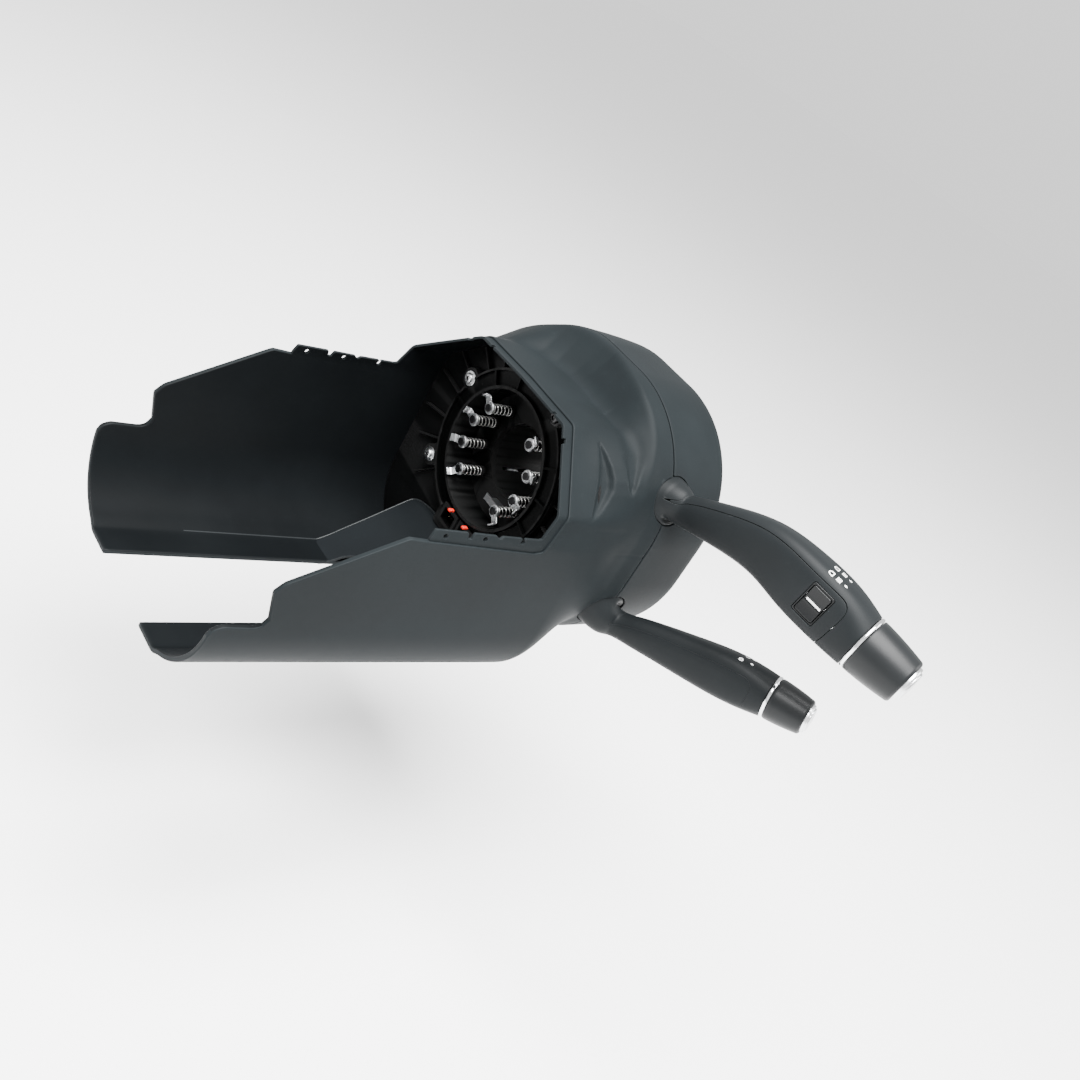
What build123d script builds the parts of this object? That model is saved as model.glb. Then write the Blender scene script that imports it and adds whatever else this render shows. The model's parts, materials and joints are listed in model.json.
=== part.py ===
from build123d import *
import math
import os

os.makedirs("parts", exist_ok=True)

# ---------------------------------------------------------------------------
# Combination stalk switch for a truck steering column.
# Row frame (mm): origin on the column axis, at the seam of the drum.
#   -Y  towards the driver (steering wheel side)     +Y  along the column, away
#   +X  driver's right                               +Z  up
# ---------------------------------------------------------------------------

# drum -----------------------------------------------------------------------
DZ = -6.0            # drum centre lies this far below the column axis
HX, HZ = 93.5, 92.2  # half width and half height of the drum at the seam
R_CORNER = 78.5      # its corner radius: the drum is a very round square
Y_FRONT = -57.0      # front face of the drum
WALL = 3.0           # moulded wall
LIP = 1.2            # how far the clip strip is set in from the outer skin
SEAM = 0.3           # half of the visible seam gap

# lower shroud ---------------------------------------------------------------
Y_TAIL = 265.0       # far end of the two side wings
W_FRONT = 92.0       # half width of the shroud at the drum
W_TAIL = 86.2        # half width at the tail
ZB_FRONT = 108.0     # depth of the shroud below the drum centre, at the drum
ZB_TAIL = 105.0      # the same at the tail
SLOT_X = 29.2        # half width of the open floor slot
SLOT_Y = 98.0        # where the floor slot starts
CLIP_Y = (101.9, 129.2, 156.5)   # clip holes along each top strip
CLIP_Z = 11.6 + DZ
CLIP_R = 2.0

# column and carrier -----------------------------------------------------------
R_COLUMN = 24.0      # bore that slides over the column tube
R_TUBE = 28.0
SCREW_XZ = ((54.0, 30.0 + DZ), (54.0, -30.0 + DZ), (-26.0, 56.0 + DZ), (-26.0, -56.0 + DZ))
R_POSTS = 32.5
POST_DEG = (41, 13, -17, -48, 128, 162, 195, 227)

# stalk pivots -----------------------------------------------------------------
R_PIVOT = 84.0
UP_DEG, UP_Y = 151.5, -4.0
LO_DEG, LO_Y = 205.5, -2.0
BALL_R = 19.0
BALL_GAP = 0.7


def polar(r, deg):
    a = math.radians(deg)
    return r * math.cos(a), r * math.sin(a)


def smooth(t):
    t = max(0.0, min(1.0, t))
    return t * t * (3 - 2 * t)


def drum_radius(deg, inset=0.0):
    """Radius of the drum's outline about its own centre along an angle."""
    a, b, r = HX - inset, HZ - inset, R_CORNER - inset
    c, s = abs(math.cos(math.radians(deg))), abs(math.sin(math.radians(deg)))
    if a * s <= (b - r) * c:
        return a / c
    if b * c <= (a - r) * s:
        return b / s
    m = c * (a - r) + s * (b - r)
    return m + math.sqrt(m * m - (a - r) ** 2 - (b - r) ** 2 + r * r)


def hull_outline(W, zb, inset):
    """Right half of the shroud outline about the drum centre, bottom to top."""
    r = 48.3
    pts = [(0.0, -zb + inset), (50.0, -zb + inset)]
    cx, cz = W - r, -zb + 48.6
    for k in range(1, 15):
        a = math.radians(-75.0 + 75.0 * k / 14)
        pts.append((cx + (r - inset) * math.cos(a), cz + (r - inset) * math.sin(a)))
    pts += [
        (W + 0.8 - inset, 9.0),
        (W - 2.0 - inset, 28.0 - 0.4 * inset),
        (47.2 - 0.5 * inset, 65.5 - inset),
        (0.0, 66.5 - inset),
    ]
    return pts


def hull_radius(deg, W, zb, inset):
    """Distance from the drum centre to the shroud outline along an angle."""
    a = math.radians(deg)
    dx, dz = abs(math.cos(a)), math.sin(a)
    pts = hull_outline(W, zb, inset)
    best = 0.0
    for (x0, z0), (x1, z1) in zip(pts, pts[1:]):
        ex, ez = x1 - x0, z1 - z0
        det = dx * (-ez) - dz * (-ex)
        if abs(det) < 1e-9:
            continue
        t = (x0 * (-ez) - z0 * (-ex)) / det
        u = (dx * z0 - dz * x0) / det
        if t > 0 and -1e-6 <= u <= 1 + 1e-6:
            best = max(best, t)
    return best


def table(x, rows):
    """Piecewise-linear look-up in ((x, value), ...)."""
    if x <= rows[0][0]:
        return rows[0][1]
    for (a, va), (b, vb) in zip(rows, rows[1:]):
        if x <= b:
            return va + (vb - va) * (x - a) / (b - a)
    return rows[-1][1]


# length of the shoulder behind the drum, and how much fuller the hood is there
SHOULDER = ((-35, 40.0), (50, 40.0), (56, 38.0), (62, 24.0), (70, 18.0), (84, 14.0), (122, 14.0), (135, 13.0), (160, 14.0))
FULLER = ((108, 0.0), (124, 2.2), (130, 5.6), (136, 9.0), (142, 10.3), (147, 10.3), (152, 8.6), (157, 5.2), (162, 1.8), (166, 0.0))


def skin_radius(deg, y, inset):
    """Radius of the housing skin about the drum centre at angle deg and depth y."""
    drum = drum_radius(deg, inset) - 2.0 * smooth(y / 12.0)
    f = max(0.0, (y - 49.0) / (Y_TAIL - 49.0))
    W = W_FRONT + (W_TAIL - W_FRONT) * f
    zb = ZB_FRONT + (ZB_TAIL - ZB_FRONT) * f
    hull = hull_radius(deg, W, zb, inset)
    hull += table(deg, FULLER) * (1.0 - smooth((y - 22.0) / 45.0))
    low = smooth((y - 9.0) / 40.0)
    high = smooth((y - 9.0) / table(deg, SHOULDER))
    s = math.sin(math.radians(deg))
    k = smooth((s + 0.35) / 0.5)
    w = low + (high - low) * k
    return drum + (hull - drum) * w


N_SKIN = 30
Y_SKIN = (SEAM, 9.0, 14.0, 19.0, 25.0, 36.0, 49.0, 92.0, Y_TAIL + 0.01)


def skin_points(y, inset):
    pts = []
    for k in range(N_SKIN):
        d = -90.0 + 360.0 * k / N_SKIN
        r = skin_radius(d, y, inset)
        x, z = polar(r, d)
        pts.append((x, z + DZ))
    return pts


def xz(y, flip=False):
    """Sketch plane at depth y whose local x,y are the row's X,Z."""
    return Plane(origin=(0, y, 0), x_dir=(1, 0, 0), z_dir=(0, -1, 0))


# side profiles (y, z) of what is left open above the wings --------------------
def arch_y(z, back=0.0):
    return 92.6 - back - 0.303 * (z - DZ)


OUTER_CUT = [
    (arch_y(130, 6.5), 130), (arch_y(6.0 + DZ, 6.5), 6.0 + DZ), (90.0, 4.5 + DZ), (163.0, 7.5 + DZ),
    (178.6, 8.6 + DZ), (236.3, -25.2 + DZ), (240.5, -31.0 + DZ), (235.5, -49.0 + DZ),
    (238.0, -53.4 + DZ), (242.0, -54.4 + DZ), (259.0, -54.0 + DZ), (263.5, -56.5 + DZ),
    (265.6, -62.0 + DZ), (290, -62.0 + DZ), (290, 130),
]
LIP_CUT = [
    (arch_y(130), 130), (arch_y(14.0 + DZ), 14.0 + DZ), (90.5, 13.4 + DZ), (117.0, 13.6 + DZ),
    (119.0, 11.8 + DZ), (122.0, 13.8 + DZ), (137.6, 14.2 + DZ), (138.6, 10.6 + DZ), (141.0, 10.6 + DZ),
    (142.0, 14.3 + DZ), (164.3, 14.7 + DZ), (165.8, 9.0 + DZ), (166.0, -10.0 + DZ), (290, -10.0), (290, 130),
]


def yz_plane(x):
    """Sketch plane at X = x whose local x,y are the row's Y,Z."""
    return Plane(origin=(x, 0, 0), x_dir=(0, 1, 0), z_dir=(1, 0, 0))


# stalk centre lines: centre, height, thickness, squareness of each station
STATIONS = {
    "upper": [
        ((-95.4, -6.1, 41.4), 17.5, 16.0, 2.0),
        ((-122.7, -9.0, 50.4), 27.0, 21.0, 2.3),
        ((-152.3, -15.0, 57.6), 34.5, 25.0, 2.8),
        ((-174.9, -21.0, 56.7), 38.5, 28.5, 3.2),
        ((-200.5, -30.0, 53.3), 39.0, 32.0, 2.8),
        ((-219.5, -36.5, 49.6), 35.4, 35.2, 2.0),
    ],
    "lower": [
        ((-97.4, -9.5, -46.2), 15.0, 15.0, 2.0),
        ((-112.8, -15.0, -43.9), 21.0, 17.0, 2.2),
        ((-143.8, -28.0, -34.6), 27.5, 21.0, 2.6),
        ((-173.9, -41.0, -26.3), 30.5, 25.0, 2.6),
        ((-190.6, -50.4, -23.0), 27.6, 27.4, 2.0),
    ],
}


class Frame:
    """Pivot frame of a stalk: u outwards, v across, w along +Y."""

    def __init__(self, deg, y, rows):
        c, s = math.cos(math.radians(deg)), math.sin(math.radians(deg))
        self.u = Vector(c, 0, s)
        self.v = Vector(s, 0, -c)
        self.w = Vector(0, 1, 0)
        self.p = Vector(R_PIVOT * c, y, R_PIVOT * s + DZ)
        self.c0, self.c1 = Vector(*rows[0][0]), Vector(*rows[1][0])
        self.nd = (self.c0 - self.p).normalized()

    def at(self, u=0.0, v=0.0, w=0.0):
        return self.p + self.u * u + self.v * v + self.w * w

    def along_w(self, w=0.0):
        """Sketch plane with local x = u, y = v, normal +Y."""
        return Plane(origin=self.at(w=w), x_dir=self.u, z_dir=self.w)

    def along_v(self, v=0.0):
        """Sketch plane with normal v, local x = u."""
        return Plane(origin=self.at(v=v), x_dir=self.u, z_dir=self.v)

    def along_u(self, u=0.0):
        """Sketch plane with normal u (outwards), local x = w."""
        return Plane(origin=self.at(u=u), x_dir=self.w, z_dir=self.u)


UP = Frame(UP_DEG, UP_Y, STATIONS["upper"])
LO = Frame(LO_DEG, LO_Y, STATIONS["lower"])

# ===========================================================================
# Rear housing with the lower shroud, one moulding
# ===========================================================================
with BuildPart() as lip:
    for y in Y_SKIN[6:]:
        with BuildSketch(xz(y)):
            with BuildLine():
                Spline(*skin_points(y, LIP), periodic=True)
            make_face()
    loft(ruled=True)
    for y in Y_SKIN[6:]:
        with BuildSketch(xz(y)):
            with BuildLine():
                Spline(*skin_points(y, WALL), periodic=True)
            make_face()
    loft(ruled=True, mode=Mode.SUBTRACT)
    with BuildSketch(yz_plane(-130)):
        with BuildLine():
            Polyline(*LIP_CUT, close=True)
        make_face()
    extrude(amount=260, mode=Mode.SUBTRACT)
    # keep only a band about 14 mm wide round the opening
    with BuildSketch(yz_plane(-130)):
        with BuildLine():
            Polyline(
                (arch_y(130, 12.0), 130), (arch_y(0.0 + DZ, 12.0), 0.0 + DZ), (172.0, 2.0 + DZ),
                (172.0, 30), (130, 130), close=True,
            )
        make_face()
    extrude(amount=260, mode=Mode.INTERSECT)

with BuildPart() as rear_housing:
    for y in Y_SKIN:
        with BuildSketch(xz(y)):
            with BuildLine():
                Spline(*skin_points(y, 0.0), periodic=True)
            make_face()
    loft(ruled=True)
    for y in Y_SKIN:
        with BuildSketch(xz(y)):
            with BuildLine():
                Spline(*skin_points(y, WALL), periodic=True)
            make_face()
    loft(ruled=True, mode=Mode.SUBTRACT)
    # bulkhead that carries the switch module, and the ramp of the floor
    with BuildSketch(xz(48.0)):
        with BuildLine():
            Spline(*skin_points(48.0, WALL - 0.6), periodic=True)
        make_face()
        Circle(50.0, mode=Mode.SUBTRACT)
        with Locations((0, -56.0)):
            Rectangle(42, 24, mode=Mode.SUBTRACT)
        with Locations(*SCREW_XZ):
            Circle(2.6, mode=Mode.SUBTRACT)
    extrude(amount=-4.0)
    with BuildSketch(yz_plane(-60)):
        with BuildLine():
            Polyline(
                (51.9, -84.5 + DZ), (100.0, -103.5 + DZ), (100.0, -106.6 + DZ), (51.9, -88.0 + DZ), close=True
            )
        make_face()
    extrude(amount=120)
    # open top and rear
    with BuildSketch(yz_plane(-130)):
        with BuildLine():
            Polyline(*OUTER_CUT, close=True)
        make_face()
    extrude(amount=260, mode=Mode.SUBTRACT)
    # floor slot between the wings
    with BuildSketch(Plane.XY.offset(-140)):
        with Locations((0, (SLOT_Y + 300) / 2)):
            RectangleRounded(2 * SLOT_X, 300 - SLOT_Y, 12)
    extrude(amount=70, mode=Mode.SUBTRACT)
    add(lip.part)
    # clip holes through both strips
    with BuildSketch(yz_plane(-130)):
        with Locations(*[(y, CLIP_Z) for y in CLIP_Y]):
            Circle(CLIP_R)
    extrude(amount=260, mode=Mode.SUBTRACT)
    # ball openings of the stalks
    for fr in (UP, LO):
        with BuildSketch(Plane(origin=fr.p, x_dir=fr.u, z_dir=fr.v)):
            with BuildLine():
                l1 = Line((0, -BALL_R - BALL_GAP), (0, BALL_R + BALL_GAP))
                ThreePointArc(l1 @ 1, (BALL_R + BALL_GAP, 0), l1 @ 0)
            make_face()
        revolve(axis=Axis(origin=fr.p, direction=fr.w), revolution_arc=360, mode=Mode.SUBTRACT)
rear_housing.part.label = "rear_housing"
export_step(rear_housing.part, "parts/rear_housing.step")

# ===========================================================================
# Front cover: the driver's side half of the drum
# ===========================================================================
COVER_SKIN = (
    (-SEAM, 0.0), (-22.0, 0.6), (-48.5, 2.4), (-52.4, 3.5), (-55.0, 5.4), (-56.4, 8.0), (Y_FRONT, 11.4),
)
COVER_INSIDE = ((-6.0, 3.4), (-22.0, 4.0), (-48.5, 6.2), (Y_FRONT + WALL, 11.6))
with BuildPart() as front_cover:
    for y, inset in COVER_SKIN:
        with BuildSketch(xz(y)):
            with Locations((0, DZ)):
                RectangleRounded(2 * (HX - inset), 2 * (HZ - inset), R_CORNER - inset)
    loft(ruled=True)
    # tongue that reaches into the rear housing
    with BuildSketch(xz(4.0)):
        with Locations((0, DZ)):
            RectangleRounded(2 * (HX - 4.4), 2 * (HZ - 4.4), R_CORNER - 4.4)
    extrude(amount=6.0)
    with BuildSketch(xz(4.0)):
        with Locations((0, DZ)):
            RectangleRounded(2 * (HX - 6.2), 2 * (HZ - 6.2), R_CORNER - 6.2)
    extrude(amount=11.0, mode=Mode.SUBTRACT)
    for y, inset in COVER_INSIDE:
        with BuildSketch(xz(y)):
            with Locations((0, DZ)):
                RectangleRounded(2 * (HX - inset), 2 * (HZ - inset), R_CORNER - inset)
    loft(ruled=True, mode=Mode.SUBTRACT)
    with BuildSketch(xz(Y_FRONT + WALL + 1.0)):
        with Locations((0, DZ)):
            Circle(53.5)
    extrude(amount=WALL + 2.0, mode=Mode.SUBTRACT)
    # dished collar round the steering wheel hub, concentric with the column
    with BuildSketch(xz(Y_FRONT + WALL)):
        Circle(60.0)
    extrude(amount=WALL - 0.6)
    with BuildSketch(xz(-44.0)):
        Circle(49.0)
    extrude(amount=11.0)
    with BuildSketch(xz(-40.0)):
        Circle(46.0)
    extrude(amount=22.0, mode=Mode.SUBTRACT)
    # screw pillars
    with BuildSketch(xz(48.0)):
        with Locations(*SCREW_XZ):
            Circle(6.0)
    extrude(amount=48.0 - Y_FRONT - 1.5)
    with BuildSketch(xz(48.0)):
        with Locations(*SCREW_XZ):
            Circle(2.0)
    extrude(amount=22.0, mode=Mode.SUBTRACT)
    for fr in (UP, LO):
        with BuildSketch(Plane(origin=fr.p, x_dir=fr.u, z_dir=fr.v)):
            with BuildLine():
                l1 = Line((0, -BALL_R - BALL_GAP), (0, BALL_R + BALL_GAP))
                ThreePointArc(l1 @ 1, (BALL_R + BALL_GAP, 0), l1 @ 0)
            make_face()
        revolve(axis=Axis(origin=fr.p, direction=fr.w), revolution_arc=360, mode=Mode.SUBTRACT)
front_cover.part.label = "front_cover"
export_step(front_cover.part, "parts/front_cover.step")

# ===========================================================================
# Carrier: slides over the column and holds every module
# ===========================================================================
EAR_DEG = (0, 90, 270)
with BuildPart() as carrier:
    # front cup for the clock spring
    with BuildSketch(xz(-4.0)):
        Circle(44.0)
    extrude(amount=13.0)
    with BuildSketch(xz(-8.0)):
        Circle(41.0)
    extrude(amount=9.0, mode=Mode.SUBTRACT)
    with BuildSketch(xz(-4.0)):
        with PolarLocations(46.5, 1, start_angle=0):
            Circle(4.2)
        with PolarLocations(46.5, 1, start_angle=90):
            Circle(4.2)
        with PolarLocations(46.5, 1, start_angle=270):
            Circle(4.2)
    extrude(amount=13.0)
    # tube on the column
    with BuildSketch(xz(32.0)):
        Circle(R_TUBE)
    extrude(amount=36.0)
    # rear cup for the contact plate
    with BuildSketch(xz(58.0)):
        Circle(47.0)
    extrude(amount=26.0)
    # flange with four ears and the connector pad
    with BuildSketch(xz(58.0)):
        Circle(57.0)
        with Locations(*SCREW_XZ):
            Circle(7.0)
        for x, z in SCREW_XZ:
            with Locations((x * 0.8, z * 0.8)):
                Rectangle(30.0, 14.0, rotation=math.degrees(math.atan2(z, x)))
        with Locations((0, -55.0)):
            RectangleRounded(46.0, 22.0, 3.0)
    extrude(amount=6.0)
    # ribs on the rear face
    with BuildSketch(xz(61.0)):
        Circle(45.6)
        Circle(43.6, mode=Mode.SUBTRACT)
    extrude(amount=3.0)
    with BuildSketch(xz(60.2)):
        Circle(56.6)
        Circle(55.2, mode=Mode.SUBTRACT)
        for d in (10, 50, 75, 150, 175, 200, 228):
            with PolarLocations(50.5, 1, start_angle=d):
                Rectangle(12.0, 1.4)
        with Locations((0, -55.0)):
            Rectangle(40.0, 22.0, mode=Mode.SUBTRACT)
        with Locations(*SCREW_XZ):
            Circle(6.4, mode=Mode.SUBTRACT)
    extrude(amount=2.2)
    # arms and T heads that take the stalk modules
    for fr in (UP, LO):
        with BuildSketch(fr.along_u(-36.0)):
            Rectangle(16.0, 35.0)
        extrude(amount=-6.0)
        with BuildSketch(fr.along_u(-38.0)):
            with Locations((2.0, 0)):
                Rectangle(10.0, 18.0)
        extrude(amount=-18.0)
    # openings
    with BuildSketch(xz(62.0)):
        Circle(43.6)
    extrude(amount=26.0, mode=Mode.SUBTRACT)
    with BuildSketch(xz(62.0)):
        Circle(R_COLUMN)
    extrude(amount=90.0, mode=Mode.SUBTRACT)
    with BuildSketch(xz(62.0)):
        with Locations(*SCREW_XZ):
            Circle(2.7)
        with Locations((9.5, -54.5), (-9.5, -54.5)):
            Rectangle(15.0, 11.0)
    extrude(amount=12.0, mode=Mode.SUBTRACT)
    with BuildSketch(xz(-6.0)):
        for d in EAR_DEG:
            with PolarLocations(46.5, 1, start_angle=d):
                Circle(1.6)
    extrude(amount=12.0, mode=Mode.SUBTRACT)
    # clamp slots in the tube
    with BuildSketch(xz(30.0)):
        with PolarLocations(26.0, 4, start_angle=45):
            Rectangle(6.0, 2.0)
    extrude(amount=22.0, mode=Mode.SUBTRACT)
    # screw holes in the T heads
    for fr in (UP, LO):
        with BuildSketch(fr.along_u(-35.0)):
            with Locations((0, 14.3), (0, -14.3)):
                Circle(1.6)
        extrude(amount=-8.0, mode=Mode.SUBTRACT)
    # posts for the circuit board
    with BuildSketch(xz(14.0)):
        with Locations((38, 14), (38, -14)):
            Circle(2.6)
    extrude(amount=20.0)
    with BuildSketch(xz(17.0)):
        with Locations((38, 14), (38, -14)):
            Circle(1.2)
    extrude(amount=4.0)
carrier.part.label = "carrier"
export_step(carrier.part, "parts/carrier.step")

with BuildPart() as carrier_screws:
    with BuildSketch(xz(61.0)):
        with Locations(*SCREW_XZ):
            Circle(5.0)
    extrude(amount=3.0)
    fillet(carrier_screws.edges().filter_by(GeomType.CIRCLE).group_by(Axis.Y)[-1], 1.6)
    with BuildSketch(xz(61.0)):
        with Locations(*SCREW_XZ):
            Rectangle(5.2, 1.2)
            Rectangle(1.2, 5.2)
    extrude(amount=1.6, mode=Mode.SUBTRACT)
    with BuildSketch(xz(58.0)):
        with Locations(*SCREW_XZ):
            Circle(2.0)
    extrude(amount=28.0)
carrier_screws.part.label = "carrier_screws"
export_step(carrier_screws.part, "parts/carrier_screws.step")

with BuildPart() as clamp_band:
    with BuildSketch(xz(22.0)):
        Circle(30.2)
        with Locations((0, -33.0)):
            Rectangle(9.0, 10.0)
        Circle(R_TUBE + 0.02, mode=Mode.SUBTRACT)
        with Locations((0, -34.0)):
            Rectangle(3.0, 16.0, mode=Mode.SUBTRACT)
    extrude(amount=10.0)
    with BuildSketch(Plane(origin=(0, 17, -34), x_dir=(0, 1, 0), z_dir=(1, 0, 0))):
        Circle(2.1)
    extrude(amount=10.0, mode=Mode.SUBTRACT)
    with BuildSketch(Plane(origin=(0, 17, -34), x_dir=(0, 1, 0), z_dir=(-1, 0, 0))):
        Circle(2.0)
    extrude(amount=10.0, mode=Mode.SUBTRACT)
clamp_band.part.label = "clamp_band"
export_step(clamp_band.part, "parts/clamp_band.step")

with BuildPart() as clamp_screw:
    with BuildSketch(Plane(origin=(4.5, 17, -34), x_dir=(0, 1, 0), z_dir=(1, 0, 0))):
        Circle(3.6)
    extrude(amount=4.0)
    with BuildSketch(Plane(origin=(8.5, 17, -34), x_dir=(0, 1, 0), z_dir=(1, 0, 0))):
        RegularPolygon(1.7, 6)
    extrude(amount=-2.4, mode=Mode.SUBTRACT)
    with BuildSketch(Plane(origin=(4.5, 17, -34), x_dir=(0, 1, 0), z_dir=(1, 0, 0))):
        Circle(2.0)
    extrude(amount=-10.0)
clamp_screw.part.label = "clamp_screw"
export_step(clamp_screw.part, "parts/clamp_screw.step")

# ===========================================================================
# Contact plate with sprung posts, seen through the rear opening
# ===========================================================================
POSTS = [polar(R_POSTS, d) for d in POST_DEG]
with BuildPart() as contact_plate:
    with BuildSketch(xz(40.0)):
        Circle(43.4)
        Circle(R_COLUMN + 0.3, mode=Mode.SUBTRACT)
    extrude(amount=4.0)
    with BuildSketch(xz(43.0)):
        with Locations(*POSTS):
            Circle(3.6)
    extrude(amount=3.0)
    with BuildSketch(xz(43.0)):
        with Locations(*POSTS):
            Circle(1.9)
    extrude(amount=5.0, mode=Mode.SUBTRACT)
contact_plate.part.label = "contact_plate"
export_step(contact_plate.part, "parts/contact_plate.step")

with BuildPart() as contact_posts:
    with BuildSketch(xz(61.4)):
        with Locations(*POSTS):
            Circle(1.9)
    extrude(amount=23.4)
    with BuildSketch(xz(61.4)):
        with Locations(*POSTS):
            Circle(2.5)
    extrude(amount=0.9)
contact_posts.part.label = "contact_posts"
export_step(contact_posts.part, "parts/contact_posts.step")

with BuildPart() as contact_springs:
    with BuildSketch(xz(58.8)):
        with Locations(*POSTS):
            Circle(3.5)
            Circle(2.6, mode=Mode.SUBTRACT)
    extrude(amount=15.8)
contact_springs.part.label = "contact_springs"
export_step(contact_springs.part, "parts/contact_springs.step")

with BuildPart() as ring_terminals:
    with BuildSketch(xz(60.5)):
        for d in POST_DEG:
            with Locations(polar(R_POSTS, d)):
                Circle(4.1)
            with Locations(polar(R_POSTS + 5.6, d)):
                Rectangle(5.0, 2.6, rotation=d)
        with Locations(*POSTS):
            Circle(2.05, mode=Mode.SUBTRACT)
    extrude(amount=1.6)
ring_terminals.part.label = "ring_terminals"
export_step(ring_terminals.part, "parts/ring_terminals.step")

with BuildPart() as ground_bracket:
    with BuildSketch(xz(51.0)):
        with Locations((-8.5, -27.2)):
            Rectangle(15.0, 4.6)
    extrude(amount=1.0)
    with BuildSketch(xz(50.0)):
        with Locations((-8.5, -29.0)):
            Rectangle(15.0, 1.0)
    extrude(amount=10.0)
ground_bracket.part.label = "ground_bracket"
export_step(ground_bracket.part, "parts/ground_bracket.step")

# ===========================================================================
# Connectors on the carrier pad
# ===========================================================================
for tag, cx in (("main", 9.5), ("aux", -9.5)):
    with BuildPart() as conn:
        with BuildSketch(xz(58.0)):
            with Locations((cx, -54.5)):
                Rectangle(14.8, 10.8)
        extrude(amount=20.0)
        with BuildSketch(xz(60.0)):
            with Locations((cx, -54.5)):
                Rectangle(17.0, 13.2)
        extrude(amount=2.0)
        with BuildSketch(xz(60.0)):
            with Locations((cx, -54.5)):
                Rectangle(11.4, 7.4)
        extrude(amount=16.0, mode=Mode.SUBTRACT)
    conn.part.label = f"{tag}_connector"
    export_step(conn.part, f"parts/{tag}_connector.step")

with BuildPart() as connector_pins:
    with BuildSketch(xz(55.0)):
        with Locations((9.5, -54.5)):
            with GridLocations(3.0, 3.4, 4, 2):
                Rectangle(0.8, 0.8)
        with Locations((-9.5, -54.5)):
            with GridLocations(3.0, 3.4, 3, 2):
                Rectangle(0.8, 0.8)
    extrude(amount=11.0)
connector_pins.part.label = "connector_pins"
export_step(connector_pins.part, "parts/connector_pins.step")

with BuildPart() as connector_locks:
    with BuildSketch(xz(62.6)):
        with Locations((9.5, -46.5), (-9.5, -46.5)):
            Rectangle(5.0, 2.2)
    extrude(amount=4.6)
connector_locks.part.label = "connector_locks"
export_step(connector_locks.part, "parts/connector_locks.step")

with BuildPart() as circuit_board:
    with BuildSketch(xz(15.6)):
        Circle(46.0)
        Circle(31.5, mode=Mode.SUBTRACT)
        with Locations((-36, 0)):
            Rectangle(100, 120, mode=Mode.SUBTRACT)
        with Locations((38, 14), (38, -14)):
            Circle(1.3, mode=Mode.SUBTRACT)
    extrude(amount=1.6)
circuit_board.part.label = "circuit_board"
export_step(circuit_board.part, "parts/circuit_board.step")

# ===========================================================================
# Clock spring
# ===========================================================================
with BuildPart() as clock_spring_case:
    with BuildSketch(xz(-17.0)):
        Circle(42.0)
        for d in EAR_DEG:
            with PolarLocations(43.5, 1, start_angle=d):
                Rectangle(9.0, 8.4)
            with PolarLocations(46.5, 1, start_angle=d):
                Circle(4.2)
        Circle(30.6, mode=Mode.SUBTRACT)
        for d in EAR_DEG:
            with PolarLocations(46.5, 1, start_angle=d):
                Circle(1.7, mode=Mode.SUBTRACT)
    extrude(amount=2.0)
    with BuildSketch(xz(-19.0)):
        Circle(42.0)
        Circle(39.6, mode=Mode.SUBTRACT)
    extrude(amount=21.0)
clock_spring_case.part.label = "clock_spring_case"
export_step(clock_spring_case.part, "parts/clock_spring_case.step")

with BuildPart() as clock_spring_lid:
    with BuildSketch(xz(-40.0)):
        Circle(42.0)
        Circle(30.6, mode=Mode.SUBTRACT)
    extrude(amount=2.0)
clock_spring_lid.part.label = "clock_spring_lid"
export_step(clock_spring_lid.part, "parts/clock_spring_lid.step")

with BuildPart() as clock_spring_ribbon:
    with BuildSketch(xz(-20.4)):
        Circle(38.8)
        Circle(31.2, mode=Mode.SUBTRACT)
    extrude(amount=18.2)
clock_spring_ribbon.part.label = "clock_spring_ribbon"
export_step(clock_spring_ribbon.part, "parts/clock_spring_ribbon.step")

with BuildPart() as clock_spring_screws:
    with BuildSketch(xz(-19.0)):
        for d in EAR_DEG:
            with PolarLocations(46.5, 1, start_angle=d):
                Circle(3.2)
    extrude(amount=2.4)
    with BuildSketch(xz(-9.0)):
        for d in EAR_DEG:
            with PolarLocations(46.5, 1, start_angle=d):
                Circle(1.55)
    extrude(amount=11.0)
clock_spring_screws.part.label = "clock_spring_screws"
export_step(clock_spring_screws.part, "parts/clock_spring_screws.step")

with BuildPart() as clock_spring_rotor:
    with BuildSketch(xz(-11.0)):
        Circle(29.8)
    extrude(amount=35.4)
    with BuildSketch(xz(-43.0)):
        Circle(38.0)
    extrude(amount=3.4)
    with BuildSketch(xz(-46.4)):
        with Locations((33.5, 0), (-33.5, 0)):
            Circle(2.4)
    extrude(amount=7.0)
    with BuildSketch(xz(-10.0)):
        Circle(26.4)
    extrude(amount=40.0, mode=Mode.SUBTRACT)
clock_spring_rotor.part.label = "clock_spring_rotor"
export_step(clock_spring_rotor.part, "parts/clock_spring_rotor.step")

with BuildPart() as rotor_connector:
    with BuildSketch(xz(-46.4)):
        with Locations((0, -32.4)):
            RectangleRounded(18.0, 9.0, 1.2)
    extrude(amount=8.4)
    with BuildSketch(xz(-48.6)):
        with Locations((0, -32.4)):
            Rectangle(15.2, 6.2)
    extrude(amount=8.4, mode=Mode.SUBTRACT)
rotor_connector.part.label = "rotor_connector"
export_step(rotor_connector.part, "parts/rotor_connector.step")

with BuildPart() as cancel_cam:
    with BuildSketch(xz(-11.4)):
        Circle(33.0)
        with Locations(polar(33.4, 60), polar(33.4, 300)):
            Circle(3.0)
        Circle(29.8, mode=Mode.SUBTRACT)
    extrude(amount=4.2)
cancel_cam.part.label = "cancel_cam"
export_step(cancel_cam.part, "parts/cancel_cam.step")

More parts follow.
